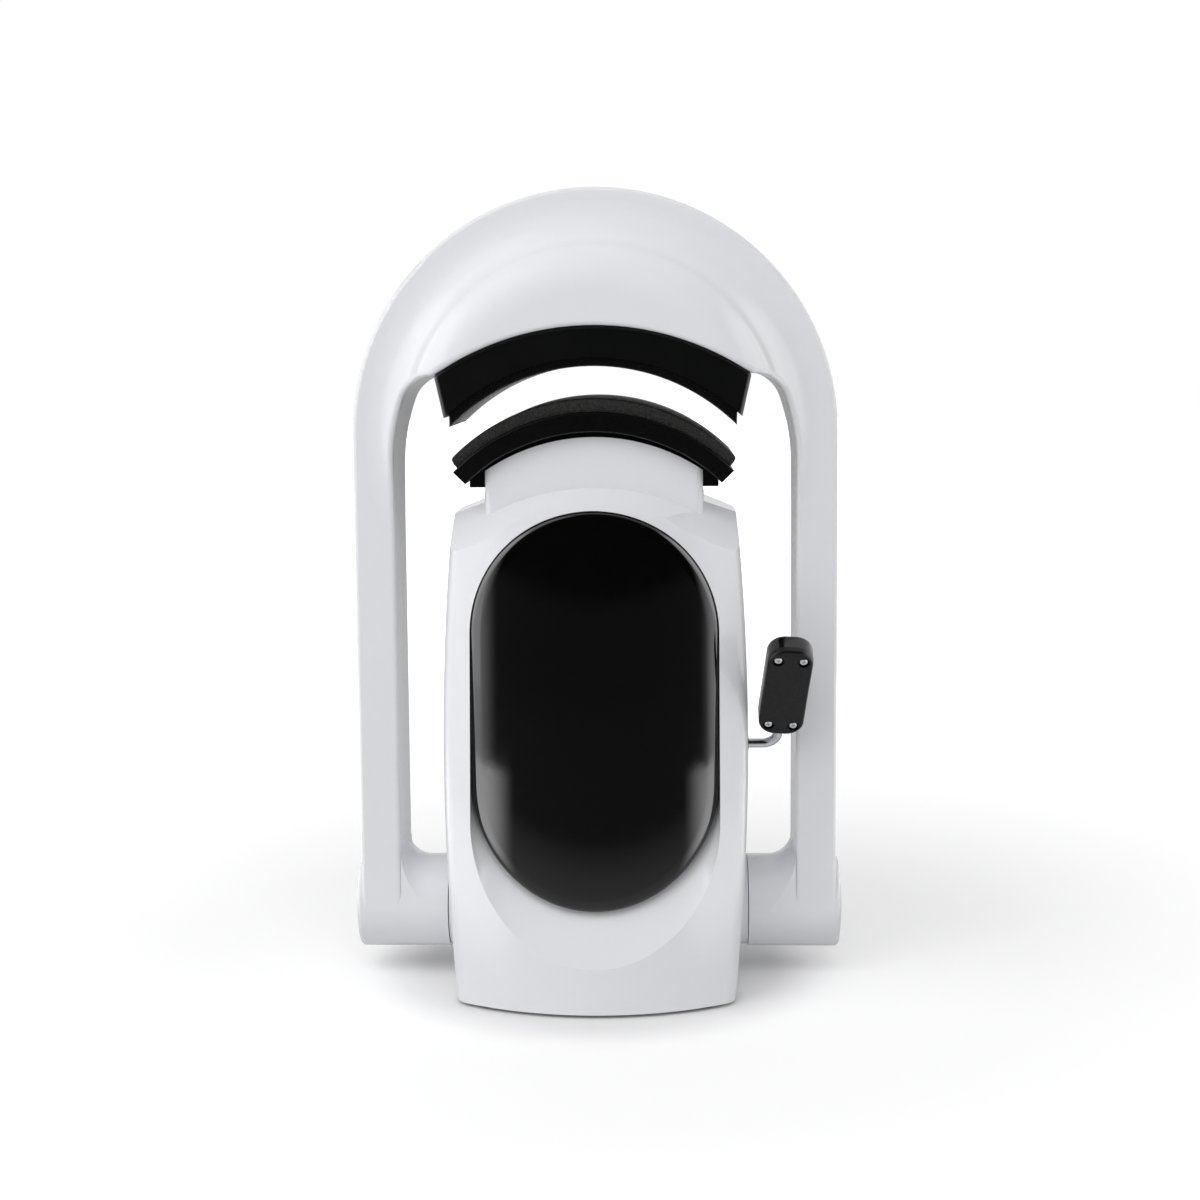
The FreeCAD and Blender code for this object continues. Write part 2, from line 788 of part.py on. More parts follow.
def foot_section(inset, x):
    """Side view of the leg's foot: the round of the barrel runs out tangentially into the leg."""
    radius = hub_radius - inset
    depth = leg_half_depth - inset
    rise = hub_flare_z - hub_z
    angle = math.atan2(rise, -depth) + math.acos(radius / math.hypot(depth, rise))
    touch = (x, radius * math.cos(angle), hub_z + radius * math.sin(angle))
    top = hub_z + hub_radius + hub_cove_radius
    half_way = (angle + math.pi) / 2
    bend = (x, radius * math.cos(half_way), hub_z + radius * math.sin(half_way))
    return face_of([
        line((x, 0, hub_z), (x, 0, top)),
        line((x, 0, top), (x, -depth, top)),
        line((x, -depth, top), (x, -depth, hub_flare_z)),
        line((x, -depth, hub_flare_z), touch),
        arc(touch, bend, (x, -radius, hub_z)),
        line((x, -radius, hub_z), (x, 0, hub_z)),
    ])


def cove_ring(inset):
    """Ring with a hollow round section that joins the barrel to the leg's inner face."""
    start = leg_inner_half - hub_cove_radius
    wall_x = leg_inner_half + inset
    radius = hub_radius - inset
    reach = hub_cove_radius + inset
    ring_z = hub_z + hub_radius + hub_cove_radius
    tilt = math.radians(45)
    bend = (start + reach * math.cos(tilt), 0, ring_z - reach * math.sin(tilt))
    profile = face_of([
        line((start, 0, hub_z), (start, 0, hub_z + radius)),
        arc((start, 0, hub_z + radius), bend, (wall_x, 0, ring_z)),
        line((wall_x, 0, ring_z), (wall_x, 0, hub_z)),
        line((wall_x, 0, hub_z), (start, 0, hub_z)),
    ])
    return profile.revolve(V(0, 0, hub_z), V(1, 0, 0), 360)


def arm_form(inset):
    """Front half of the arm above the hinge axis, closed, shrunk by the inset."""
    form = arm_outline(inset).extrude(V(0, -2 * crown_half_depth, 0)).common(crown_block(inset))
    end = leg_outer_half - inset
    wall_x = leg_inner_half + inset
    foot = foot_section(inset, wall_x).extrude(V(end - wall_x, 0, 0))
    if inset == 0:
        depth = leg_half_depth - 0.6
        form = form.makeFillet(arm_edge_radius, sharp_edges(
            form, lambda b: b.YMax < -depth and (b.ZMax > 365 or b.XMax < -86 or b.XMin > 86)))
        foot = foot.makeFillet(arm_edge_radius, sharp_edges(
            foot, lambda b: b.YMax < -depth and b.XLength < 0.01))
    start = leg_inner_half - hub_cove_radius
    cove = cove_ring(inset).common(foot_section(inset, start).extrude(V(wall_x - start, 0, 0)))
    barrel = rod_x(hub_inner_half + inset, end, 0, hub_z, hub_radius - inset)
    barrel = barrel.common(box(0, 2 * end, -hub_radius, 0, hub_z, hub_z + hub_radius))
    for piece in (foot, cove, barrel):
        form = form.fuse(piece).fuse(mirror_x(piece))
    return form


def leg_boss_places():
    """Centres of the screws that join the two halves of the arm along the legs."""
    return [(side * leg_boss_x, z) for side in (-1, 1) for z in leg_boss_heights]


def hub_screw_places():
    """Centres of the upright screws in the barrels."""
    return [(side * x, y) for side in (-1, 1) for x in hub_screw_x for y in (-hub_screw_y, hub_screw_y)]


def arm_shells():
    """Front and rear mouldings of the arm."""
    shell = arm_form(0.0)
    shell = shell.cut(arm_form(arm_wall))
    bosses = [rod_y(-60, 0, x, z, arm_boss_radius) for x, z in arm_boss_places]
    bosses += [rod_y(-60, 0, x, z, leg_boss_radius) for x, z in leg_boss_places()]
    for x, y in hub_screw_places():
        if y < 0:
            bosses.append(rod_z(hub_z, hub_z + 11, x, y, hub_screw_boss_radius))
            bosses.append(box(x - 1.5, x + 1.5, -hub_radius, y, hub_z, hub_z + 11))
    inner = arm_form(0.5 * arm_wall)
    shell = shell.fuse([boss.common(inner) for boss in bosses])
    cuts = [rod_x(-90, 90, 0, hub_z, hub_window_radius)]
    end_bore = rod_x(leg_boss_x, 2 * leg_boss_x, 0, hub_z, hub_radius - arm_wall)
    cuts += [end_bore, mirror_x(end_bore)]
    cuts += [rod_z(hub_z, hub_z + 9, x, y, shell_screw_radius) for x, y in hub_screw_places() if y < 0]
    cuts += [rod_z(340, 380, side * stud_x, -stud_y, stud_radius + 0.3) for side in (-1, 1)]
    shell = shell.cut(cuts)
    rear = mirror_y(shell)
    places = list(arm_boss_places) + leg_boss_places()
    pilots = [rod_y(-9, 0, x, z, shell_screw_radius) for x, z in places]
    front = shell.cut(pilots)
    head = shell_screw_radius * screw_head_ratio + 0.15
    holes = [rod_y(0, 7, x, z, shell_screw_radius) for x, z in places]
    holes += [rod_y(7, 70, x, z, head) for x, z in places]
    return front, rear.cut(holes)


def hub_cover():
    """Lower half of the right barrel."""
    half = box(0, 200, -50, 50, 0, hub_z)
    outer = rod_x(hub_inner_half, leg_outer_half, 0, hub_z, hub_radius)
    inner = rod_x(hub_inner_half + arm_wall, leg_outer_half, 0, hub_z, hub_radius - arm_wall)
    cover = outer.cut(inner)
    bosses = [rod_z(0, hub_z, x, y, hub_screw_boss_radius) for x, y in hub_screw_places() if x > 0]
    cover = cover.fuse([boss.common(outer) for boss in bosses]).common(half)
    cuts = [rod_x(0, 90, 0, hub_z, hub_window_radius)]
    head = shell_screw_radius * screw_head_ratio + 0.15
    for x, y in hub_screw_places():
        cuts.append(rod_z(0, hub_z, x, y, shell_screw_radius))
        cuts.append(rod_z(0, hub_z - 10, x, y, head))
    return cover.cut(cuts)


def hub_cap():
    """Domed cap on the outer end of the right barrel."""
    rise = cap_dome
    bend = (hub_radius ** 2 + rise ** 2) / (2 * rise)
    side = hub_radius / 2
    crown = leg_outer_half + rise - bend + math.sqrt(bend ** 2 - side ** 2)
    profile = face_of([
        line((leg_outer_half, 0, hub_z), (leg_outer_half, 0, hub_z + hub_radius)),
        arc((leg_outer_half, 0, hub_z + hub_radius), (crown, 0, hub_z + side),
            (leg_outer_half + rise, 0, hub_z)),
        line((leg_outer_half + rise, 0, hub_z), (leg_outer_half, 0, hub_z)),
    ])
    dome = profile.revolve(V(0, 0, hub_z), V(1, 0, 0), 360)
    outer = hub_radius - arm_wall - cap_gap
    spigot = tube_x(leg_outer_half - cap_spigot, leg_outer_half, 0, hub_z, outer, outer - 2.0)
    return dome.fuse(spigot)


def arm_frame():
    """Steel strap inside the arm, with a sleeve welded to each foot."""
    mean = frame_bar_outer_half - frame_bar_thickness / 2
    path = [(mean, hub_z), (mean, frame_knee_z), (frame_bridge_half, frame_bridge_z)]
    path += [(-x, z) for x, z in reversed(path)]
    half = frame_bar_thickness / 2
    rims = []
    for shift in (-half, half):
        points = []
        for index, point in enumerate(path):
            before = path[index - 1] if index else None
            after = path[index + 1] if index + 1 < len(path) else None
            points.append(offset_corner(before, point, after, shift))
        rims.append(points)
    outline = rims[0] + rims[1][::-1]
    corners = [V(x, 0, z) for x, z in outline]
    strap = Part.Face(Part.makePolygon(corners + corners[:1])).extrude(V(0, frame_bar_width, 0))
    strap.translate(V(0, -frame_bar_width / 2, 0))
    bends = edges_where(strap, lambda b, e: b.YLength > 10 and b.ZMin > frame_knee_z - 20)
    centre = V(0, 0, hub_z)
    inner_bends = []
    outer_bends = []
    for edge in bends:
        distance = (V(edge.CenterOfMass.x, 0, edge.CenterOfMass.z) - centre).Length
        ring = [e for e in bends if abs(e.CenterOfMass.x - edge.CenterOfMass.x) < 12
                and abs(e.CenterOfMass.z - edge.CenterOfMass.z) < 12 and e is not edge]
        other = (V(ring[0].CenterOfMass.x, 0, ring[0].CenterOfMass.z) - centre).Length
        (outer_bends if distance > other else inner_bends).append(edge)
    strap = strap.makeFillet(frame_bend_radius + half, outer_bends)
    inner_places = [edge.CenterOfMass for edge in inner_bends]
    again = [e for e in strap.Edges if any((e.CenterOfMass - p).Length < 0.5 for p in inner_places)]
    strap = strap.makeFillet(frame_bend_radius - half, again)
    sleeve_radius = hub_shaft_radius + running_clearance + hub_bush_wall + sleeve_wall
    bore = hub_shaft_radius + running_clearance + hub_bush_wall
    end = frame_bar_outer_half - washer_gap
    for side in (-1, 1):
        low_x, high_x = sorted((side * (frame_bar_outer_half - frame_bar_thickness), side * end))
        strap = strap.fuse(rod_x(low_x, high_x, 0, hub_z, frame_eye_radius))
        low_x, high_x = sorted((side * sleeve_inner_x, side * end))
        strap = strap.fuse(rod_x(low_x, high_x, 0, hub_z, sleeve_radius))
    low = box(-200, 200, -50, 50, -10, hub_z)
    strap = strap.cut(low).fuse([
        rod_x(*sorted((s * a, s * end)), 0, hub_z, r) for s in (-1, 1)
        for a, r in ((frame_bar_outer_half - frame_bar_thickness, frame_eye_radius),
                     (sleeve_inner_x, sleeve_radius))
    ])
    holes = [rod_x(-200, 200, 0, hub_z, bore)]
    holes += [rod_z(frame_bridge_z - 10, frame_bridge_z + 10, x, y, stud_radius) for x, y in stud_places()]
    strap = strap.cut(holes)
    return strap.cut(box(-200, 200, -50, 50, 0, hub_z - frame_eye_radius - 1))


def offset_corner(before, point, after, shift):
    """Corner of a polyline moved sideways by a shift, mitred between its two neighbours."""
    ways = []
    if before:
        ways.append((point[0] - before[0], point[1] - before[1]))
    if after:
        ways.append((after[0] - point[0], after[1] - point[1]))
    normals = [(-dz / math.hypot(dx, dz), dx / math.hypot(dx, dz)) for dx, dz in ways]
    nx = sum(n[0] for n in normals) / len(normals)
    nz = sum(n[1] for n in normals) / len(normals)
    scale = shift / (nx * nx + nz * nz)
    return (point[0] + nx * scale, point[1] + nz * scale)


def stud_places():
    """Centres of the studs that carry the heater."""
    return [(x, y) for x in (-stud_x, stud_x) for y in (-stud_y, stud_y)]


def arc_slab(top, low, half_depth):
    """Slab between two arcs, each given as radius, crown height and half width."""
    top_radius, top_crown, top_half = top
    low_radius, low_crown, low_half = low
    top_end = arc_height(top_radius, top_crown, top_half)
    low_end = arc_height(low_radius, low_crown, low_half)
    section = face_of([
        arc((-top_half, -half_depth, top_end), (0, -half_depth, top_crown), (top_half, -half_depth, top_end)),
        line((top_half, -half_depth, top_end), (low_half, -half_depth, low_end)),
        arc((low_half, -half_depth, low_end), (0, -half_depth, low_crown), (-low_half, -half_depth, low_end)),
        line((-low_half, -half_depth, low_end), (-top_half, -half_depth, top_end)),
    ])
    return section.extrude(V(0, 2 * half_depth, 0))


def heater_layer(low_offset, high_offset, half_width, half_depth):
    """Curved layer above the heater's underside, between two offsets from it."""
    low = (heater_radius + low_offset, heater_face_z + low_offset, half_width)
    high = (heater_radius + high_offset, heater_face_z + high_offset, half_width)
    return arc_slab(high, low, half_depth)


def heater_shroud():
    """Pressed cover under the arch, open below."""
    top = (shroud_top_radius, shroud_top_z, shroud_top_half)
    low = (shroud_bottom_radius, shroud_bottom_z, shroud_bottom_half)
    form = arc_slab(top, low, shroud_half_depth)
    form = form.makeFillet(shroud_edge_radius, sharp_edges(form, lambda b: b.YLength < 1 and b.XLength < 10))
    form = form.makeFillet(shroud_edge_radius, sharp_edges(form, lambda b: b.ZMax > shroud_top_z - 0.5))
    inner_top = (shroud_top_radius - shroud_wall, shroud_top_z - shroud_wall,
                 shroud_top_half - shroud_wall - 0.2)
    deep = shroud_bottom_half - shroud_wall - 1.0
    inner_low = (shroud_bottom_radius - 8.0, shroud_bottom_z - 8.0, deep)
    hollow = arc_slab(inner_top, inner_low, shroud_half_depth - shroud_wall)
    holes = [rod_z(340, 380, x, y, stud_radius) for x, y in stud_places()]
    return form.cut(hollow).cut(holes)


def heater_pieces():
    """Heater plate, heating element, insulation, thermostat and studs."""
    plate = heater_layer(0.0, heater_thickness, heater_half_width, heater_half_depth)
    plate = plate.makeFillet(0.8, sharp_edges(plate, lambda b: b.ZMin > heater_face_z - 33 and b.YLength < 1
                                              and b.ZMax < heater_face_z + 1))
    top = heater_thickness
    element = heater_layer(top, top + element_thickness, insulation_half_width, heater_half_depth - 1)
    wool_low = top + element_thickness
    wool = heater_layer(wool_low, wool_low + insulation_thickness, insulation_half_width,
                        heater_half_depth - 1)
    crown = heater_face_z + heater_thickness
    plate_at_stud = arc_height(heater_radius + top, crown, stud_x)
    collar_top = arc_height(shroud_top_radius - shroud_wall, shroud_top_z - shroud_wall,
                            stud_x + stud_collar_radius)
    studs = []
    nuts = []
    bridge_top = frame_bridge_z + frame_bar_thickness / 2
    for x, y in stud_places():
        stud = rod_z(plate_at_stud - stud_sink, bridge_top + stud_nut_height + 1, x, y, stud_radius)
        studs.append(stud.fuse(rod_z(collar_top - 3, collar_top, x, y, stud_collar_radius)))
        nuts.append(hex_nut(stud_nut_across, (x, y, bridge_top), (0, 0, 1), stud_nut_height, stud_radius))
        plate = plate.cut(stud)
        hole = rod_z(crown - 20, crown + 20, x, y, stud_collar_radius + 0.5)
        element = element.cut(hole)
        wool = wool.cut(hole)
    sensor_y = 28.0
    sensor = rod_z(crown, crown + thermostat_height, 0, sensor_y, thermostat_radius)
    space = rod_z(crown - 5, crown + 20, 0, sensor_y, thermostat_radius + 1)
    return {
        "heat_plate": plate,
        "heating_element": element.cut(space),
        "insulation_pad": wool.cut(space),
        "thermostat": sensor,
        "heater_studs": Part.makeCompound(studs),
        "stud_nuts": Part.makeCompound(nuts),
    }


def platen_pieces():
    """Foam, plate, block, column, guide rods and their screws."""
    foam = arc_slab((foam_radius, foam_top_z, foam_top_half), (plate_radius, plate_top_z, foam_under_half),
                    foam_half_depth)
    foam = foam.makeFillet(foam_edge_radius, sharp_edges(foam, lambda b: b.ZMax > foam_top_z - 0.5))
    plate = arc_slab((plate_radius, plate_top_z, plate_top_half),
                     (plate_under_radius, plate_under_z, plate_under_half),
                     plate_half_depth)
    plate = plate.makeFillet(plate_edge_radius,
                             sharp_edges(plate, lambda b: b.YLength < 1 and b.XLength > 20))
    side_top = arc_height(plate_under_radius, plate_under_z, block_half_width)
    block = face_of([
        line((-block_half_width, -block_half_depth, block_bottom_z),
             (block_half_width, -block_half_depth, block_bottom_z)),
        line((block_half_width, -block_half_depth, block_bottom_z),
             (block_half_width, -block_half_depth, side_top)),
        arc((block_half_width, -block_half_depth, side_top), (0, -block_half_depth, plate_under_z),
            (-block_half_width, -block_half_depth, side_top)),
        line((-block_half_width, -block_half_depth, side_top),
             (-block_half_width, -block_half_depth, block_bottom_z)),
    ]).extrude(V(0, 2 * block_half_depth, 0))
    solid_block = block
    pocket = arc_slab((plate_under_radius - block_wall, plate_under_z - block_wall,
                       block_half_width - block_wall - 3.0),
                      (plate_under_radius - block_wall - 40, block_bottom_z - 5.0, 0.5),
                      block_half_depth - block_wall)
    inner_half = block_half_width - block_wall
    pocket = box(-inner_half, inner_half, -block_half_depth + block_wall, block_half_depth - block_wall,
                 block_bottom_z - 1, plate_under_z)
    under = arc_slab((plate_under_radius - block_wall, plate_under_z - block_wall, inner_half),
                     (4 * plate_under_radius, block_bottom_z - 20, inner_half), block_half_depth)
    pocket = pocket.common(under)
    block = block.cut(pocket)
    ribs = [box(side * x - block_rib / 2, side * x + block_rib / 2, -block_half_depth + 1,
                block_half_depth - 1,
                block_bottom_z + 2, plate_under_z) for x in block_rib_x for side in (-1, 1)]
    ribs.append(box(-block_half_width + 1, block_half_width - 1, -block_rib / 2, block_rib / 2,
                    block_bottom_z + 2, plate_under_z))
    bosses = [rod_z(block_bottom_z, plate_under_z, 0, 0, column_boss_radius)]
    bosses += [rod_z(block_bottom_z, plate_under_z, side * guide_rod_x, 0, guide_boss_radius)
               for side in (-1, 1)]
    bosses += [rod_z(block_bottom_z + 2, plate_under_z, 0, side * platen_screw_y, platen_screw_boss_radius)
               for side in (-1, 1)]
    block = block.fuse([piece.common(solid_block) for piece in ribs + bosses])
    foot_z = lever_z + cam_base_height + cam_gap
    column = rod_z(foot_z + follower_thickness, column_seat_z, 0, 0, column_radius)
    rods = [rod_z(guide_rod_low_z, guide_rod_top_z, side * guide_rod_x, 0, guide_rod_radius)
            for side in (-1, 1)]
    collar_z = guide_rod_low_z + 3.0
    collars = [tube_z(collar_z, collar_z + collar_height, side * guide_rod_x, 0, collar_radius,
                      guide_rod_radius)
               for side in (-1, 1)]
    head_top = arc_height(plate_radius, plate_top_z, 6.0)
    bolts = [
        rod_z(head_top - 5, head_top, 0, 0, 6.0).fuse(rod_z(column_seat_z - 25, head_top - 5, 0, 0, 4.0)),
        rod_z(foot_z + 0.5, foot_z + 3.5, 0, 0, 5.0).fuse(rod_z(foot_z + 3.5, foot_z + 22, 0, 0, 3.0)),
    ]
    for side in (-1, 1):
        y = side * platen_screw_y
        bolts.append(rod_z(head_top - 4, head_top, 0, y, 4.5)
                     .fuse(rod_z(column_seat_z, head_top - 4, 0, y, 2.5)))
    block = block.cut([column] + rods + bolts)
    follower = box(-follower_half_width, follower_half_width, follower_front_y, follower_rear_y,
                   foot_z, foot_z + follower_thickness)
    follower = follower.cut(bolts[1]).cut(rod_z(foot_z - 1, foot_z + 0.5, 0, 0, 5.0))
    return {
        "foam_pad": foam,
        "platen_plate": plate.cut([bolts[0], bolts[2], bolts[3]]).cut(
            [rod_z(head_top, plate_top_z + 1, 0, y, r)
             for y, r in ((0, 6.0), (-platen_screw_y, 4.5), (platen_screw_y, 4.5))]),
        "platen_block": block,
        "lift_column": column.cut(bolts[:2]),
        "guide_rods": Part.makeCompound(rods),
        "rod_collars": Part.makeCompound(collars),
        "cam_follower": follower,
        "platen_bolts": Part.makeCompound(bolts),
    }


def lever_place():
    """Where the grip stands: at the bend of the rod, leaning forward and splayed outward."""
    turn = FreeCAD.Rotation(V(1, 0, 0), lever_lean).multiply(FreeCAD.Rotation(V(0, 1, 0), lever_splay))
    return FreeCAD.Placement(V(lever_bend_x, lever_y, lever_z), turn)


def lever_rod():
    """Bent round rod from the shaft to the middle of the grip."""
    place = lever_place()
    corner = V(lever_bend_x, lever_y, lever_z)
    way = place.Rotation.multVec(V(0, 0, 1))
    along = V(1, 0, 0)
    turn = along.getAngle(way)
    back = lever_bend_radius * math.tan(turn / 2)
    start = V(lever_rod_seat_x, lever_y, lever_z)
    first = corner - along * back
    last = corner + way * back
    centre_way = (way - along).normalize()
    centre = corner + centre_way * (lever_bend_radius / math.cos(turn / 2))
    middle = centre - centre_way * lever_bend_radius
    end = corner + way * (grip_start + lever_rod_in_grip)
    path = Part.Wire([
        Part.LineSegment(start, first).toShape(),
        Part.Arc(first, middle, last).toShape(),
        Part.LineSegment(last, end).toShape(),
    ])
    section = Part.Wire(Part.makeCircle(lever_rod_radius, start, along))
    return path.makePipeShell([section], True, True)


def grip_slab(low_y, high_y):
    """Slab with round ends in the grip's own frame: X across, Z along, Y through."""
    half = grip_width / 2
    low = grip_start + half
    high = grip_start + grip_length - half
    outline = Part.Wire([
        line((half, low_y, low), (half, low_y, high)),
        arc((half, low_y, high), (0, low_y, high + half), (-half, low_y, high)),
        line((-half, low_y, high), (-half, low_y, low)),
        arc((-half, low_y, low), (0, low_y, low - half), (half, low_y, low)),
    ])
    return Part.Face(outline).extrude(V(0, high_y - low_y, 0))


def grip_screw_places():
    """Centres of the four screws in the grip's own frame."""
    middle = grip_start + grip_length / 2
    return [(sx * grip_screw_spacing_x / 2, middle + sz * grip_screw_spacing_z / 2)
            for sx in (-1, 1) for sz in (-1, 1)]


def lever_pieces():
    """Lever shaft, rod, cam, collars and the two halves of the grip."""
    rod = lever_rod()
    shaft = rod_x(lever_shaft_left_x, lever_shaft_right_x, lever_y, lever_z, lever_shaft_radius)
    shaft = shaft.cut(rod_x(lever_rod_seat_x, lever_shaft_right_x, lever_y, lever_z, lever_rod_radius))
    front_y = -grip_thickness / 2
    split_y = front_y + grip_plate_thickness
    front = grip_slab(front_y, split_y)
    front = front.makeFillet(grip_edge_radius, sharp_edges(front, lambda b: b.YMax < front_y + 0.01))
    back = grip_slab(split_y, grip_thickness / 2)
    back = back.makeFillet(2 * grip_edge_radius, sharp_edges(back, lambda b: b.YMin > -front_y - 0.01))
    channel = rod_z(grip_start - 1, grip_start + lever_rod_in_grip, 0, 0, lever_rod_radius)
    back = back.cut(channel)
    head = board_screw_radius * screw_head_ratio
    screws = []
    for x, z in grip_screw_places():
        seat = front_y + grip_screw_sink
        screws.append(screw(board_screw_radius, 9.0, (x, seat, z), (0, 1, 0)))
        front = front.cut(rod_y(front_y - 1, seat, x, z, head + 0.85))
        front = front.cut(rod_y(front_y, split_y, x, z, board_screw_radius))
        back = back.cut(rod_y(split_y, seat + 9.0, x, z, board_screw_radius))
    place = lever_place()
    placed = {}
    for name, shape in (("grip_front", front), ("grip_back", back),
                        ("grip_screws", Part.makeCompound(screws))):
        shape.Placement = place.multiply(shape.Placement)
        placed[name] = shape
    low_x = lever_collar_x
    high_x = lever_collar_x + lever_collar_width
    collars = [tube_x(side * low_x, side * high_x, lever_y, lever_z, lever_collar_radius, lever_shaft_radius)
               for side in (-1, 1)]
    placed["lever_rod"] = rod
    placed["lever_shaft"] = shaft
    placed["shaft_collars"] = Part.makeCompound(collars)
    placed["lift_cam"] = lift_cam()
    return placed


def lift_cam():
    """Cam with an even rise, on the middle of the lever shaft."""
    rate = lift / math.radians(lever_turn)
    base = cam_base_height / rate
    points = []
    steps = 12
    for step in range(steps + 1):
        turn = math.radians(-cam_lead_in + step * (lever_turn + 1.5 * cam_lead_in) / steps)
        reach = rate * (base + turn)
        points.append(V(-cam_thickness / 2, lever_y + rate * math.cos(turn) + reach * math.sin(turn),
                        lever_z - rate * math.sin(turn) + reach * math.cos(turn)))
    curve = Part.BSplineCurve()
    curve.interpolate(points)
    centre = V(-cam_thickness / 2, lever_y, lever_z)
    wing = Part.Face(Part.Wire([
        curve.toShape(),
        Part.LineSegment(points[-1], centre).toShape(),
        Part.LineSegment(centre, points[0]).toShape(),
    ])).extrude(V(cam_thickness, 0, 0))
    half = cam_thickness / 2
    cam = wing.fuse(rod_x(-half, half, lever_y, lever_z, cam_hub_radius))
    return cam.cut(rod_x(-half, half, lever_y, lever_z, lever_shaft_radius)).removeSplitter()


def chassis_plates():
    """Two steel side plates that stand on the base plate."""
    floor = base_plate_low_z + base_plate_thickness
    outer = chassis_half_width
    inner = outer - chassis_plate
    plate = box(inner, outer, chassis_front_y, chassis_rear_y, floor, chassis_top_z)
    plate = plate.makeFillet(10.0, edges_where(plate, lambda b, e: b.XLength > 1 and b.ZMin > floor + 10))
    plate = plate.fuse(box(outer - chassis_flange, inner, chassis_front_y, chassis_rear_y, floor,
                           floor + chassis_plate))
    for y0, y1, z0, z1 in ((-30.0, 38.0, 66.0, 114.0), (-4.0, 38.0, 152.0, 220.0)):
        window = box(inner - 1, outer + 1, y0, y1, z0, z1)
        window = window.makeFillet(8.0, edges_where(window, lambda b, e: b.XLength > 1))
        plate = plate.cut(window)
    holes = [
        rod_x(0, 100, 0, hub_z, hub_shaft_radius),
        rod_x(0, 100, lever_y, lever_z, lever_shaft_radius + running_clearance + lever_bush_wall),
    ]
    plate = plate.cut(holes)
    plates = both_sides(plate)
    return plates.cut([item for item in chassis_screw_list()])


def chassis_screw_list():
    """Screws of the chassis: four in the guide plate's flanges and four in the base plate."""
    screws = []
    guide_z = chassis_top_z - guide_flange_drop / 2
    floor = base_plate_low_z + base_plate_thickness + chassis_plate
    foot_x = chassis_half_width - chassis_flange + 6.0
    for side in (-1, 1):
        for y in (-guide_plate_half_depth + 10.0, guide_plate_half_depth - 10.0):
            screws.append(screw(chassis_screw_radius, 6.0, (side * chassis_half_width, y, guide_z),
                                (-side, 0, 0)))
        for y in (chassis_front_y + 7.0, chassis_rear_y - 7.0):
            screws.append(screw(chassis_screw_radius, 7.0, (side * foot_x, y, floor), (0, 0, -1)))
    return screws


def guide_plate():
    """Folded plate across the top of the chassis that guides the column and the two rods."""
    outer = chassis_half_width
    depth = guide_plate_half_depth
    top = chassis_top_z + guide_plate_thickness
    plate = box(-outer, outer, -depth, depth, chassis_top_z, top)
    inner = outer - chassis_plate
    flange = box(inner - chassis_plate, inner, -depth, depth, chassis_top_z - guide_flange_drop,
                 chassis_top_z)
    plate = plate.fuse([flange, mirror_x(flange)])
    holes = [rod_z(chassis_top_z - 1, top + 1, 0, 0, column_bush_radius)]
    holes += [rod_z(chassis_top_z - 1, top + 1, side * guide_rod_x, 0, rod_bush_radius) for side in (-1, 1)]
    return plate.cut(holes).cut(chassis_screw_list())


def guide_bushes():
    """Flanged bushes for the column and the guide rods."""
    top = chassis_top_z + guide_plate_thickness
    bore = column_radius + running_clearance
    column = rod_z(top - column_bush_drop, top, 0, 0, column_bush_radius)
    column = column.fuse(rod_z(top, top + bush_flange, 0, 0, column_bush_radius + 3.0))
    bushes = [column.cut(rod_z(top - 50, top + 50, 0, 0, bore))]
    bore = guide_rod_radius + running_clearance
    for side in (-1, 1):
        x = side * guide_rod_x
        bush = rod_z(chassis_top_z - rod_bush_drop, top, x, 0, rod_bush_radius)
        bush = bush.fuse(rod_z(top, top + bush_flange, x, 0, rod_bush_radius + 2.0))
        bushes.append(bush.cut(rod_z(top - 50, top + 50, x, 0, bore)))
    return Part.makeCompound(bushes)


def return_springs():
    """Two coil springs between the guide plate's bushes and the collars of the guide rods."""
    low = guide_rod_low_z + 3.0 + collar_height + spring_wire_radius + 0.05
    high = chassis_top_z - rod_bush_drop - spring_wire_radius - 0.05
    pitch = (high - low) / spring_turns
    springs = []
    for side in (-1, 1):
        helix = Part.makeHelix(pitch, high - low, spring_coil_radius)
        section = Part.Wire(Part.makeCircle(spring_wire_radius, V(spring_coil_radius, 0, 0), V(0, 1, 0)))
        spring = Part.Wire(helix).makePipeShell([section], True, True)
        spring.translate(V(side * guide_rod_x, 0, low))
        springs.append(spring)
    return Part.makeCompound(springs)


def lever_bushes():
    """Bushes of the lever shaft in the chassis plates."""
    bore = lever_shaft_radius + running_clearance
    outer = bore + lever_bush_wall
    inner_x = chassis_half_width - chassis_plate
    body = tube_x(inner_x, chassis_half_width, lever_y, lever_z, outer, bore)
    flange = tube_x(inner_x - 1.5, inner_x, lever_y, lever_z, outer + 2.0, bore)
    return both_sides(body.fuse(flange))


def rod_grommet():
    """Small bush where the lever's rod leaves the side of the housing."""
    bore = lever_rod_radius + running_clearance
    body = tube_x(79.0, 84.0, lever_y, lever_z, lever_bush_radius, bore)
    flange = tube_x(78.4, 79.0, lever_y, lever_z, lever_bush_radius + 1.0, bore)
    return body.fuse(flange)


def base_plate():
    """Steel plate that closes the underside, with four stand-offs for the power board."""
    form = housing_form(housing_wall + base_plate_gap)
    top = base_plate_low_z + base_plate_thickness
    plate = form.common(box(-100, 100, -120, 120, base_plate_low_z, top))
    posts = [rod_z(top, power_board_z, x, y, 3.0) for x, y in power_board_places()]
    holes = [rod_z(0, 20, x, y, foot_stem_radius) for x, y in foot_places()]
    holes += [rod_z(0, 20, x, y, shell_screw_radius) for x, y in base_screw_places()]
    holes += chassis_screw_list()
    holes += [rod_z(power_board_z - 6, power_board_z, x, y, board_screw_radius)
              for x, y in power_board_places()]
    return plate.fuse(posts).cut(holes)


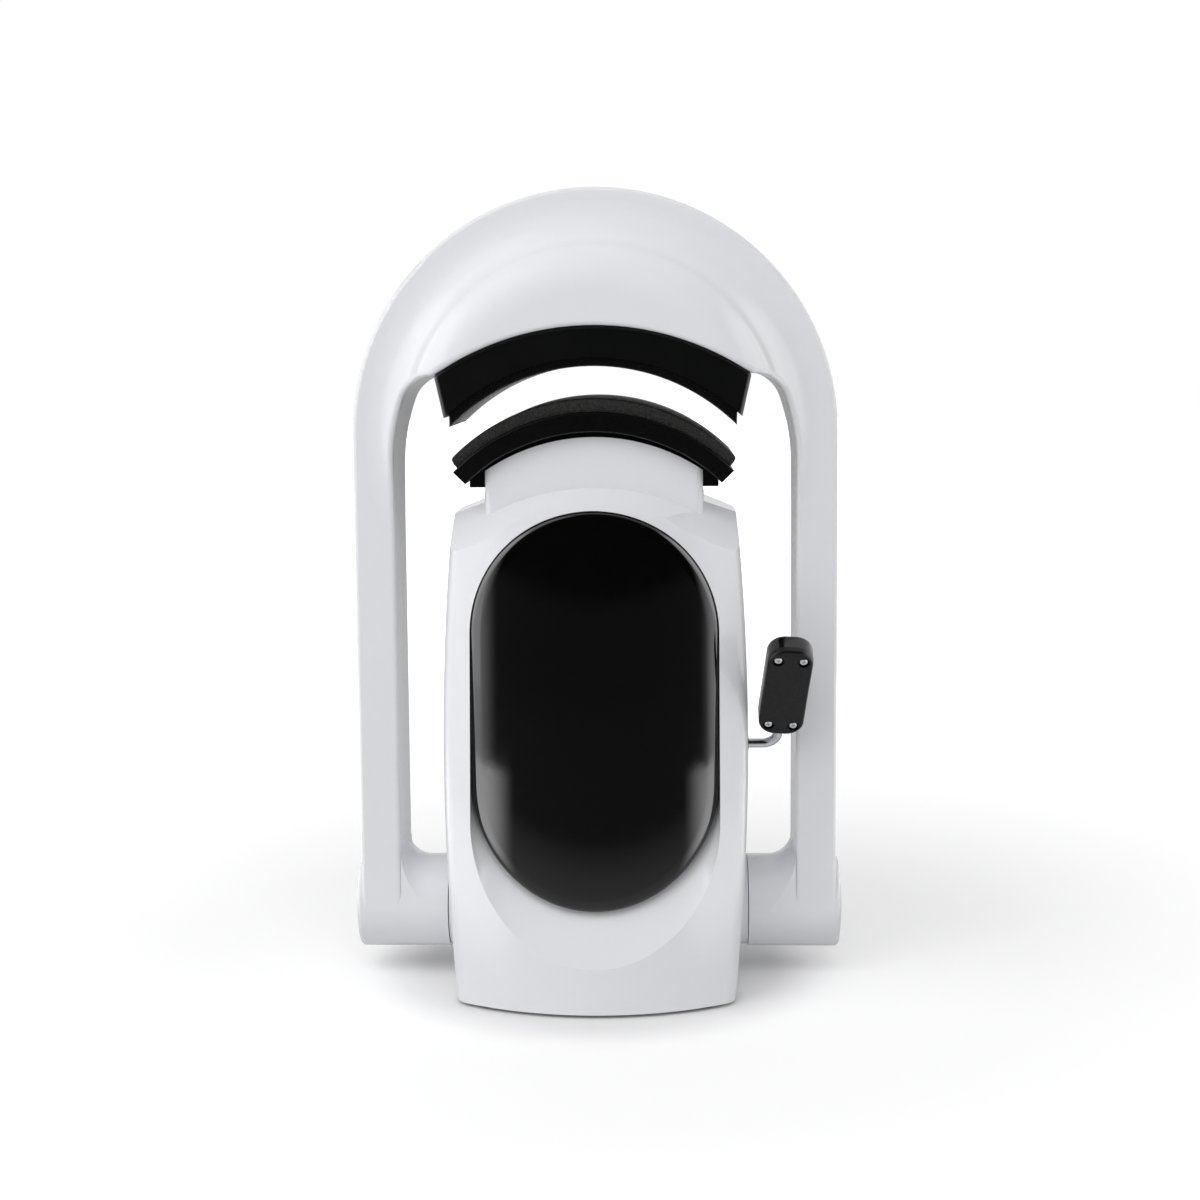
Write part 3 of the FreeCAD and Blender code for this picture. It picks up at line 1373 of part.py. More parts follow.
def foot_places():
    """Centres of the four feet."""
    return [(x, y) for x in (-foot_x, foot_x) for y in (foot_front_y, foot_rear_y)]


def rubber_feet():
    """Four feet pushed through the base plate."""
    top = base_plate_low_z + base_plate_thickness
    feet = []
    for x, y in foot_places():
        pad = rod_z(0, base_plate_low_z, x, y, foot_radius)
        pad = pad.makeFillet(0.8, [min(pad.Edges, key=lambda edge: edge.CenterOfMass.z)])
        feet.append(pad.fuse([rod_z(base_plate_low_z, top, x, y, foot_stem_radius),
                              rod_z(top, top + 2.0, x, y, foot_barb_radius)]))
    return Part.makeCompound(feet)


def power_board_places():
    """Centres of the stand-offs under the power board."""
    return [(x, y) for x in (-22.0, 22.0) for y in (-40.0, 40.0)]


def power_board():
    """Circuit board of the power supply with its large components."""
    top = power_board_z + 1.6
    board = box(-27, 27, -45, 45, power_board_z, top)
    parts = [
        box(-20, 8, -34, -8, top, top + 12),
        rod_z(top, top + 13, 17, -26, 5.5),
        rod_z(top, top + 11, 16, -10, 4.5),
        box(-20, -4, 14, 32, top, top + 11),
        box(6, 20, 16, 30, top, top + 10),
    ]
    holes = [rod_z(power_board_z - 1, top + 1, x, y, board_screw_radius) for x, y in power_board_places()]
    return board.fuse(parts).cut(holes)


def socket_block(x, half_width, half_height, y0, y1):
    """Block centred on one of the sockets in the rear bay."""
    return box(x - half_width, x + half_width, y0, y1, socket_z - half_height, socket_z + half_height)


def inlet_pin_list():
    """Three flat pins of the power inlet."""
    rear = bay_floor_y - inlet_depth
    pins = []
    for dx, dz in ((0.0, 2.2), (-7.0, -1.8), (7.0, -1.8)):
        pins.append(box(inlet_x + dx - pin_half_width, inlet_x + dx + pin_half_width, rear - pin_tail,
                        rear + pin_length, socket_z + dz - pin_half_height, socket_z + dz + pin_half_height))
    return pins


def power_inlet():
    """Three-pin inlet that fills its opening in the rear bay."""
    rear = bay_floor_y - inlet_depth
    front = bay_floor_y + bezel_depth
    body = socket_block(inlet_x, inlet_half_width, inlet_half_height, rear, front)
    bezel = socket_block(inlet_x, inlet_half_width + bezel_lip, inlet_half_height + bezel_lip, bay_floor_y,
                         front)
    mouth = socket_block(inlet_x, inlet_half_width - inlet_wall, inlet_half_height - inlet_wall,
                         front - inlet_mouth_depth, front)
    mouth = mouth.makeFillet(4.0, edges_where(mouth, lambda b, e: b.YLength > 1 and b.ZMin > socket_z))
    return body.fuse(bezel).cut(mouth).cut(inlet_pin_list())


def switch_frame():
    """Snap-in frame of the rocker switch."""
    rear = bay_floor_y - switch_depth
    front = bay_floor_y + bezel_depth
    body = socket_block(switch_x, switch_half_width, switch_half_height, rear, front)
    bezel = socket_block(switch_x, switch_half_width + switch_lip, switch_half_height + switch_lip,
                         bay_floor_y, front)
    inner = socket_block(switch_x, switch_half_width - switch_wall, switch_half_height - 0.7, rear + 2, front)
    reach = switch_half_width - 0.4
    pivot = rod_x(switch_x - reach, switch_x + reach, rocker_pivot_y, socket_z,
                  rocker_pin_radius + running_clearance)
    return body.fuse(bezel).cut(inner).cut(pivot)


def switch_rocker():
    """Rocker, tipped to its off side."""
    half = switch_half_width - switch_wall - rocker_side_gap
    height = rocker_half_height
    outline = ((6.0, height), (4.2, 0.0), (6.0, -height), (0.0, -height - 0.2), (-3.0, -4.0), (-3.0, 4.0),
               (0.0, height + 0.2))
    points = [V(switch_x - half, rocker_pivot_y + y, socket_z + z) for y, z in outline]
    rocker = Part.Face(Part.makePolygon(points + points[:1])).extrude(V(2 * half, 0, 0))
    reach = switch_half_width - 0.5
    rocker = rocker.fuse(rod_x(switch_x - reach, switch_x + reach, rocker_pivot_y, socket_z,
                               rocker_pin_radius))
    rocker.rotate(V(switch_x, rocker_pivot_y, socket_z), V(1, 0, 0), -rocker_turn / 2)
    return rocker


def hinge_pieces():
    """Shaft, spacers, washers and nuts of the arm's hinge, and the bushes in its sleeves."""
    shaft = rod_x(-shaft_half_length, shaft_half_length, 0, hub_z, hub_shaft_radius)
    spacer_end = sleeve_inner_x - washer_gap - washer_thickness
    spacer = tube_x(chassis_half_width, spacer_end, 0, hub_z, hub_shaft_radius + spacer_wall,
                    hub_shaft_radius)
    outer = hub_shaft_radius + running_clearance + hub_bush_wall + sleeve_wall
    inner_washer = tube_x(spacer_end, spacer_end + washer_thickness, 0, hub_z, outer, hub_shaft_radius)
    nut_x = frame_bar_outer_half + washer_thickness
    outer_washer = tube_x(frame_bar_outer_half, nut_x, 0, hub_z, outer, hub_shaft_radius)
    nut = hex_nut(nut_across, (nut_x, 0, hub_z), (1, 0, 0), nut_height, hub_shaft_radius)
    bore = hub_shaft_radius + running_clearance
    sleeve_end = frame_bar_outer_half - washer_gap
    bushes = [
        tube_x(sleeve_inner_x, sleeve_inner_x + hub_bush_length, 0, hub_z, bore + hub_bush_wall, bore),
        tube_x(sleeve_end - hub_bush_length, sleeve_end, 0, hub_z, bore + hub_bush_wall, bore),
    ]
    return {
        "hub_shaft": shaft,
        "hub_spacers": both_sides(spacer),
        "friction_washers": Part.makeCompound([
            inner_washer, outer_washer, mirror_x(inner_washer), mirror_x(outer_washer)]),
        "hub_nuts": both_sides(nut),
        "hub_bushes": Part.makeCompound(bushes + [mirror_x(bush) for bush in bushes]),
    }


def shell_screws():
    """Screws that join the mouldings of the base."""
    screws = [screw(shell_screw_radius, 2 * boss_reach - 3.0, (side * boss_x, boss_reach, z), (0, -1, 0))
              for side in (-1, 1) for z in boss_heights]
    screws += [screw(shell_screw_radius, 16.0, (x, y, base_plate_low_z), (0, 0, 1))
               for x, y in base_screw_places()]
    return Part.makeCompound(screws)


def arm_screws():
    """Screws that join the mouldings of the arm."""
    places = list(arm_boss_places) + leg_boss_places()
    return Part.makeCompound([screw(shell_screw_radius, 15.0, (x, 7.0, z), (0, -1, 0)) for x, z in places])


def hub_screws():
    """Screws that hold the lower halves of the barrels."""
    return Part.makeCompound([screw(shell_screw_radius, 18.0, (x, y, hub_z - 10), (0, 0, 1))
                              for x, y in hub_screw_places()])


def board_screws():
    """Screws of the two circuit boards."""
    screws = [screw(board_screw_radius, 6.0, (x, board_face_y + board_thickness, z), (0, -1, 0))
              for x, z in board_post_places()]
    screws += [screw(board_screw_radius, 7.0, (x, y, power_board_z + 1.6), (0, 0, -1))
               for x, y in power_board_places()]
    return Part.makeCompound(screws)


PIECES = {}
PIECES["housing_front"], PIECES["housing_rear"] = housing_shells()
PIECES["panel"] = panel()
PIECES["display_board"] = display_board()
PIECES["base_plate"] = base_plate()
PIECES["rubber_feet"] = rubber_feet()
PIECES["chassis_plates"] = chassis_plates()
PIECES["guide_plate"] = guide_plate()
PIECES["guide_bushes"] = guide_bushes()
PIECES["return_springs"] = return_springs()
PIECES["lever_bushes"] = lever_bushes()
PIECES["rod_grommet"] = rod_grommet()
PIECES["power_board"] = power_board()
PIECES["power_inlet"] = power_inlet()
PIECES["inlet_pins"] = Part.makeCompound(inlet_pin_list())
PIECES["switch_frame"] = switch_frame()
PIECES["switch_rocker"] = switch_rocker()
PIECES["shell_screws"] = shell_screws()
PIECES["chassis_screws"] = Part.makeCompound(chassis_screw_list())
PIECES["board_screws"] = board_screws()
PIECES.update(hinge_pieces())
PIECES["arm_front"], PIECES["arm_rear"] = arm_shells()
PIECES["hub_covers"] = both_sides(hub_cover())
PIECES["hub_caps"] = both_sides(hub_cap())
PIECES["arm_frame"] = arm_frame()
PIECES["arm_screws"] = arm_screws()
PIECES["hub_screws"] = hub_screws()
PIECES["heater_shroud"] = heater_shroud()
PIECES.update(heater_pieces())
PIECES.update(platen_pieces())
PIECES.update(lever_pieces())

for name, shape in PIECES.items():
    shape.exportStep("parts/" + name + ".step")
    print(name, len(shape.Solids), "solids", round(shape.Volume), "mm3", "valid", shape.isValid())
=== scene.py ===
"""Looks of a cap heat press: studio, finishes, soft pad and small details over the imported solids."""

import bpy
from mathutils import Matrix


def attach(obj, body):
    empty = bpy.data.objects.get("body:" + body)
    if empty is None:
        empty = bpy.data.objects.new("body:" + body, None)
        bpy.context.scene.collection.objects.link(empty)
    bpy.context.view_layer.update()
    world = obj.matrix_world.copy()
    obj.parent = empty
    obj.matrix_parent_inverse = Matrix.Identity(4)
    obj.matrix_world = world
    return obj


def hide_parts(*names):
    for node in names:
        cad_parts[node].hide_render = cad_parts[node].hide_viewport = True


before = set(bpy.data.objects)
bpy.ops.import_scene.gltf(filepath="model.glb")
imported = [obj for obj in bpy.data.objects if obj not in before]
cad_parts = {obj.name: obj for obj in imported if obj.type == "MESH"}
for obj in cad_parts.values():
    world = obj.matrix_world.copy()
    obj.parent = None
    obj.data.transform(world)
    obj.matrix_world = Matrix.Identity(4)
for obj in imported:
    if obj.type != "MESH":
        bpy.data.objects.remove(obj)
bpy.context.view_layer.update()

import logging
import math
from dataclasses import dataclass, field
from enum import Enum
from typing import Callable, Dict, List, Optional, Tuple, Union

import bmesh
import bpy
from mathutils import Matrix, Vector

Colour = Tuple[float, float, float]
Point = Tuple[float, float, float]
Key = Union[int, str]

log = logging.getLogger("cap_press")


class Grain(Enum):
    """Kinds of small relief that a surface can have."""

    PEEL = "peel"
    SPARK = "spark"
    SATIN = "satin"
    BRUSHED = "brushed"
    SPONGE = "sponge"
    WOOL = "wool"
    SINTER = "sinter"


def set_active(piece: bpy.types.Object) -> None:
    """Leaves one piece selected and active.

    Args:
        piece: The object that the next operator works on.
    """
    if bpy.context.mode != "OBJECT":
        bpy.ops.object.mode_set(mode="OBJECT")
    bpy.ops.object.select_all(action="DESELECT")
    piece.select_set(True)
    bpy.context.view_layer.objects.active = piece


def apply_modifiers(piece: bpy.types.Object) -> None:
    """Applies every modifier of a piece in order.

    Args:
        piece: The object whose modifiers are applied.
    """
    set_active(piece)
    for name in [modifier.name for modifier in piece.modifiers]:
        bpy.ops.object.modifier_apply(modifier=name)


def settle(piece: bpy.types.Object) -> None:
    """Puts a piece's place into its mesh, so that its object sits at the origin.

    Args:
        piece: The finished object.
    """
    set_active(piece)
    bpy.ops.object.transform_apply(location=True, rotation=True, scale=True)


class Net:
    """Shader nodes of one tree, each added and fed in a single call."""

    def __init__(self, tree: bpy.types.NodeTree) -> None:
        """Takes the tree that the nodes go into."""
        self.tree = tree

    def feed(self, node: bpy.types.Node, inputs: Dict[Key, object]) -> bpy.types.Node:
        """Sets or links inputs of a node.

        Args:
            node: The node.
            inputs: By name or number, a value to set or an output to link.

        Returns:
            The same node.
        """
        for key, value in inputs.items():
            if isinstance(value, bpy.types.NodeSocket):
                self.tree.links.new(value, node.inputs[key])
            else:
                node.inputs[key].default_value = value
        return node

    def add(self, kind: str, inputs: Optional[Dict[Key, object]] = None,
            **settings: object) -> bpy.types.Node:
        """Adds a node.

        Args:
            kind: Its type, without the word that all shader nodes start with.
            inputs: What goes into it, as for feed.
            **settings: Its options, set before its inputs.

        Returns:
            The new node.
        """
        node = self.tree.nodes.new("ShaderNode" + kind)
        for name, value in settings.items():
            setattr(node, name, value)
        return self.feed(node, inputs or {})

    def math(self, operation: str, *values: object) -> bpy.types.NodeSocket:
        """Works out a value from values or outputs."""
        return self.add("Math", dict(enumerate(values)), operation=operation).outputs[0]

    def mix(self, share: object, first: object, second: object, kind: str = "FLOAT") -> bpy.types.NodeSocket:
        """Blends two values or colours by a share."""
        return self.add("Mix", {"Factor": share, "A": first, "B": second}, data_type=kind).outputs["Result"]

    def ramp(self, value: bpy.types.NodeSocket, span: Tuple[float, float], low: float = 0.0,
             high: float = 1.0, kind: str = "SMOOTHSTEP") -> bpy.types.NodeSocket:
        """Maps a value to a new range.

        Args:
            value: The output to map.
            span: Values at which the result starts and ends.
            low: Result at the start.
            high: Result at the end.
            kind: How it runs between them.

        Returns:
            The mapped value.
        """
        return self.add("MapRange", {"Value": value, "From Min": span[0], "From Max": span[1], "To Min": low,
                                     "To Max": high}, interpolation_type=kind).outputs["Result"]

    def noise(self, vector: bpy.types.NodeSocket, scale: object, detail: float,
              rough: float) -> bpy.types.NodeSocket:
        """Adds a noise texture.

        Args:
            vector: Where its place comes from.
            scale: Its features per metre.
            detail: Octaves of the noise.
            rough: How strong the small octaves are.

        Returns:
            The noise as a value.
        """
        return self.add("TexNoise", {"Vector": vector, "Scale": scale, "Detail": detail,
                                     "Roughness": rough}).outputs["Fac"]


class Effects:
    """Shader node groups that several finishes share, each built once."""

    def __init__(self) -> None:
        """Starts with no groups."""
        self._built: Dict[str, bpy.types.NodeTree] = {}

    def group(self, name: str) -> bpy.types.NodeTree:
        """Gives a group by name and builds it at its first use.

        Args:
            name: One of relief, cells, streaks or marks.

        Returns:
            The shader node group.
        """
        if name not in self._built:
            tree = bpy.data.node_groups.new(name, "ShaderNodeTree")
            getattr(self, "_" + name)(tree)
            self._built[name] = tree
        return self._built[name]

    @staticmethod
    def _sockets(
        tree: bpy.types.NodeTree, number: Tuple[str, float], given: Tuple[str, ...] = ("Height", "Mask"),
    ) -> Tuple[Net, List[bpy.types.NodeSocket], bpy.types.Node]:
        """Makes the sockets of a group.

        Args:
            tree: The group.
            number: Name and default of the input beside the vector.
            given: Names of the value outputs.

        Returns:
            The group's net, its vector and number as outputs to link, and its end node.
        """
        tree.interface.new_socket("Vector", in_out="INPUT", socket_type="NodeSocketVector")
        socket = tree.interface.new_socket(number[0], in_out="INPUT", socket_type="NodeSocketFloat")
        socket.default_value = number[1]
        for name in given:
            tree.interface.new_socket(name, in_out="OUTPUT", socket_type="NodeSocketFloat")
        start = tree.nodes.new("NodeGroupInput")
        return Net(tree), list(start.outputs)[:2], tree.nodes.new("NodeGroupOutput")

    def _relief(self, tree: bpy.types.NodeTree) -> None:
        """Fine relief of moulded or coated surfaces: a close grain over a slow waviness."""
        net, (vector, scale), end = self._sockets(tree, ("Scale", 1000.0))
        fine = net.noise(vector, scale, 3.0, 0.55)
        slow = net.noise(vector, net.math("MULTIPLY", scale, 0.12), 2.0, 0.5)
        net.feed(end, {"Height": net.math("ADD", fine, net.math("MULTIPLY", slow, 0.5)), "Mask": fine})

    def _cells(self, tree: bpy.types.NodeTree) -> None:
        """Open cells of a sponge: pits of two sizes with thin walls between them. The mask is lowest in the
        wide pits, so the foam's cell finish, darker at that end, paints shade into them.
        """
        net, (vector, scale), end = self._sockets(tree, ("Scale", 900.0))
        wide, small = (
            net.add("TexVoronoi", {"Randomness": 1.0, "Vector": vector,
                                   "Scale": net.math("MULTIPLY", scale, factor)}).outputs["Distance"]
            for factor in (1.0, 2.3))
        net.feed(end, {"Height": net.math("POWER", net.math("MULTIPLY", wide, small), 0.6), "Mask": wide})

    def _streaks(self, tree: bpy.types.NodeTree) -> None:
        """Long fine scratches of brushed or drawn metal, along the vector's first axis."""
        net, (vector, scale), end = self._sockets(tree, ("Scale", 1000.0))
        long_way = net.add("Mapping", {"Scale": (0.03, 1.0, 1.0), "Vector": vector})
        fine = net.noise(long_way.outputs["Vector"], scale, 4.0, 0.7)
        net.feed(end, {"Height": fine, "Mask": fine})

    def _marks(self, tree: bpy.types.NodeTree) -> None:
        """Sparse dust specks and faint wiping marks, as a mask from clean to marked."""
        net, (vector, amount), end = self._sockets(tree, ("Amount", 0.3), ("Mask",))
        smear = net.ramp(net.noise(vector, 26.0, 5.0, 0.65), (0.48, 0.75), kind="LINEAR")
        net.feed(end, {"Mask": net.math("MULTIPLY", smear, amount)})


effects = Effects()
GRAIN_SPAN = (0.3, 0.7)
# Least part of a face's normal along an axis at which the face counts as facing that way.
FACING = 0.9


@dataclass(frozen=True)
class Finish:
    """One finish, from which a procedural material is made.

    Sizes of the relief are in metres, and its scale is in features per metre.
    """

    name: str
    colour: Colour
    shade: Colour
    rough: Tuple[float, float]
    grain: Grain
    scale: float
    depth: float
    metallic: float = 0.0
    coat: float = 0.0
    coat_rough: float = 0.05
    marks: float = 0.0
    sheen: float = 0.0
    ior: float = 1.5
    level: float = 0.5
    turn: Point = (0.0, 0.0, 0.0)

    def group_name(self) -> str:
        """Gives the name of the shared effect that this finish's grain uses."""
        return {Grain.SPONGE: "cells", Grain.BRUSHED: "streaks"}.get(self.grain, "relief")

    def material(self) -> bpy.types.Material:
        """Builds the material, or gives it again if it is there already.

        Returns:
            The node material of this finish.
        """
        known = bpy.data.materials.get(self.name)
        if known is not None:
            return known
        material = bpy.data.materials.new(self.name)
        material.use_nodes = True
        net = Net(material.node_tree)
        shader = material.node_tree.nodes["Principled BSDF"]
        net.feed(shader, {"Metallic": self.metallic, "Coat Weight": self.coat,
                          "Coat Roughness": self.coat_rough, "Sheen Weight": self.sheen,
                          "IOR": self.ior, "Specular IOR Level": self.level})
        turn = tuple(math.radians(a) for a in self.turn)
        place = net.add("Mapping", {"Rotation": turn,
                                    "Vector": net.add("TexCoord").outputs["Object"]}).outputs["Vector"]
        grain = net.add("Group", {"Scale": self.scale, "Vector": place},
                        node_tree=effects.group(self.group_name()))
        marks = net.add("Group", {"Amount": self.marks, "Vector": place}, node_tree=effects.group("marks"))
        mask = grain.outputs["Mask"]
        colour = net.mix(mask, (*self.colour, 1.0), (*self.shade, 1.0), "RGBA")
        rough = net.ramp(mask, GRAIN_SPAN, *self.rough, kind="LINEAR")
        bump = net.add("Bump", {"Strength": 1.0, "Distance": self.depth, "Height": grain.outputs["Height"]})
        net.feed(shader, {"Base Color": colour, "Roughness": net.math("ADD", rough, marks.outputs["Mask"]),
                          "Normal": bump.outputs["Normal"]})
        return material


WHITE_GLOSS = Finish("white_gloss_moulding", (0.800, 0.805, 0.835), (0.815, 0.820, 0.845), (0.10, 0.14),
                     Grain.PEEL, 320.0, 0.000012, marks=0.03, level=0.32)
PANEL_BLACK = Finish("gloss_black_panel", (0.0012, 0.0012, 0.0014), (0.0018, 0.0018, 0.0020), (0.04, 0.07),
                     Grain.PEEL, 180.0, 0.000004, marks=0.02, level=0.72)
SHROUD_CHARCOAL = Finish("satin_charcoal_shroud", (0.0016, 0.0017, 0.0019), (0.0030, 0.0032, 0.0034),
                         (0.30, 0.42), Grain.SPARK, 2600.0, 0.00004, marks=0.05, level=0.35)
HEATER_BLACK = Finish("non_stick_heater", (0.0020, 0.0021, 0.0023), (0.0060, 0.0062, 0.0066), (0.16, 0.34),
                      Grain.SPARK, 1700.0, 0.00010, marks=0.05)
PLATE_BLACK = Finish("satin_black_plate", (0.0014, 0.0014, 0.0016), (0.0030, 0.0030, 0.0034), (0.26, 0.40),
                     Grain.SATIN, 1500.0, 0.00003, marks=0.05, level=0.3)
FOAM_SKIN = Finish("foam_skin", (0.0040, 0.0039, 0.0038), (0.0120, 0.0115, 0.0110), (0.50, 0.70), Grain.SPARK,
                   1400.0, 0.00014, level=0.35)
# Painted shade in the sponge's pits: the near-black first colour lies in the pits and the lighter second
# colour on the walls between them.
FOAM_CELLS_PIT_SHADED = Finish("foam_cells_painted_pit_shade", (0.0010, 0.0010, 0.0010), (0.052, 0.052, 0.050), (0.75, 0.95),
                    Grain.SPONGE, 900.0, 0.0012, level=0.3)
BLACK_PLASTIC = Finish("satin_black_plastic", (0.0050, 0.0051, 0.0054), (0.0090, 0.0092, 0.0096),
                       (0.24, 0.36), Grain.SATIN, 1800.0, 0.00003, marks=0.06, level=0.25)
BLACK_GLOSS = Finish("gloss_black_grip", (0.0028, 0.0028, 0.0031), (0.0050, 0.0050, 0.0054), (0.08, 0.16),
                     Grain.PEEL, 400.0, 0.00001, marks=0.05)
BLACK_RUBBER = Finish("black_rubber", (0.016, 0.016, 0.016), (0.030, 0.030, 0.030), (0.60, 0.80), Grain.SPARK,
                      1200.0, 0.0001)
BRIGHT_STEEL = Finish("polished_steel", (0.62, 0.63, 0.64), (0.72, 0.73, 0.74), (0.12, 0.28), Grain.BRUSHED,
                      2400.0, 0.00002, metallic=1.0, marks=0.05)
CHASSIS_STEEL = Finish("zinc_sheet", (0.42, 0.43, 0.45), (0.58, 0.59, 0.62), (0.28, 0.45), Grain.SATIN,
                       260.0, 0.00002, metallic=1.0, marks=0.12)
FRAME_ALUMINIUM = Finish("plain_aluminium", (0.60, 0.61, 0.62), (0.70, 0.71, 0.72), (0.30, 0.42),
                         Grain.BRUSHED, 1600.0, 0.00003, metallic=1.0)
SPRING_STEEL = Finish("spring_wire", (0.36, 0.36, 0.38), (0.50, 0.50, 0.52), (0.20, 0.34), Grain.SATIN,
                      2200.0, 0.00002, metallic=1.0)
SCREW_STEEL = Finish("zinc_screw", (0.55, 0.56, 0.58), (0.72, 0.73, 0.75), (0.16, 0.32), Grain.SATIN,
                     1500.0, 0.00003, metallic=1.0)
BRONZE = Finish("sintered_bronze", (0.42, 0.25, 0.11), (0.58, 0.38, 0.19), (0.38, 0.55), Grain.SINTER,
                3200.0, 0.00006, metallic=1.0)
PIN_BRASS = Finish("plated_pin", (0.70, 0.58, 0.34), (0.82, 0.72, 0.48), (0.18, 0.28), Grain.SATIN,
                   2000.0, 0.00001, metallic=1.0)
CIRCUIT_BOARD = Finish("board_mask", (0.012, 0.09, 0.035), (0.022, 0.14, 0.055), (0.28, 0.38), Grain.SATIN,
                       420.0, 0.00003, coat=0.3)
ELEMENT_SILICONE = Finish("silicone_mat", (0.34, 0.075, 0.02), (0.46, 0.12, 0.035), (0.5, 0.62), Grain.SPARK,
                          1200.0, 0.0001)
INSULATION_WOOL = Finish("glass_wool", (0.62, 0.60, 0.54), (0.80, 0.79, 0.74), (0.85, 0.95), Grain.WOOL,
                         1500.0, 0.0005, sheen=0.3)

PRINT_WHITE = Finish("white_print", (0.78, 0.78, 0.76), (0.84, 0.84, 0.82), (0.45, 0.55), Grain.SATIN,
                     3000.0, 0.00001)

NODE_FINISHES: Dict[Finish, Tuple[str, ...]] = {
    WHITE_GLOSS: ("housing_front", "housing_rear", "arm_front", "arm_rear", "hub_covers", "hub_caps"),
    PANEL_BLACK: ("panel",),
    SHROUD_CHARCOAL: ("heater_shroud",),
    HEATER_BLACK: ("heat_plate",),
    PLATE_BLACK: ("platen_plate", "platen_block"),
    BLACK_PLASTIC: ("grip_front", "switch_frame", "power_inlet", "rod_grommet", "thermostat"),
    BLACK_GLOSS: ("grip_back", "switch_rocker"),
    BLACK_RUBBER: ("rubber_feet",),
    BRIGHT_STEEL: ("lever_rod", "guide_rods", "lift_column", "lever_shaft", "hub_shaft", "hub_spacers",
                   "heater_studs", "cam_follower", "shaft_collars", "lift_cam"),
    CHASSIS_STEEL: ("chassis_plates", "guide_plate", "base_plate"),
    FRAME_ALUMINIUM: ("arm_frame",),
    SPRING_STEEL: ("return_springs", "friction_washers", "rod_collars"),
    SCREW_STEEL: ("grip_screws", "shell_screws", "chassis_screws", "board_screws", "arm_screws", "hub_screws",
                  "hub_nuts", "stud_nuts", "platen_bolts"),
    BRONZE: ("guide_bushes", "lever_bushes", "hub_bushes"),
    PIN_BRASS: ("inlet_pins",),
    CIRCUIT_BOARD: ("display_board", "power_board"),
    ELEMENT_SILICONE: ("heating_element",),
    INSULATION_WOOL: ("insulation_pad",),
}


def dress_nodes() -> None:
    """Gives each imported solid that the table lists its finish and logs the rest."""
    left = set(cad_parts)
    for finish, names in NODE_FINISHES.items():
        for name in names:
            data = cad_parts[name].data
            data.materials.clear()
            data.materials.append(finish.material())
            left.discard(name)
    log.info("dressed nodes, left: %s", sorted(left))


@dataclass(frozen=True)
class Lamp:
    """Soft box, and whether glossy surfaces mirror it."""

    name: str
    place: Point
    size: Tuple[float, float]
    power: float
    mirrored: bool = True
    aim: Point = (0.0, 0.0, 0.25)

    def build(self) -> bpy.types.Object:
        """Makes the lamp and turns it to its aim.

        Returns:
            The lamp object.
        """
        data = bpy.data.lights.new(self.name, "AREA")
        data.shape = "RECTANGLE"
        data.size, data.size_y = self.size
        data.energy = self.power
        lamp = bpy.data.objects.new(self.name, data)
        bpy.context.scene.collection.objects.link(lamp)
        lamp.location = self.place
        lamp.rotation_euler = (Vector(self.aim) - Vector(self.place)).to_track_quat("-Z", "Y").to_euler()
        lamp.visible_glossy = self.mirrored
        return lamp


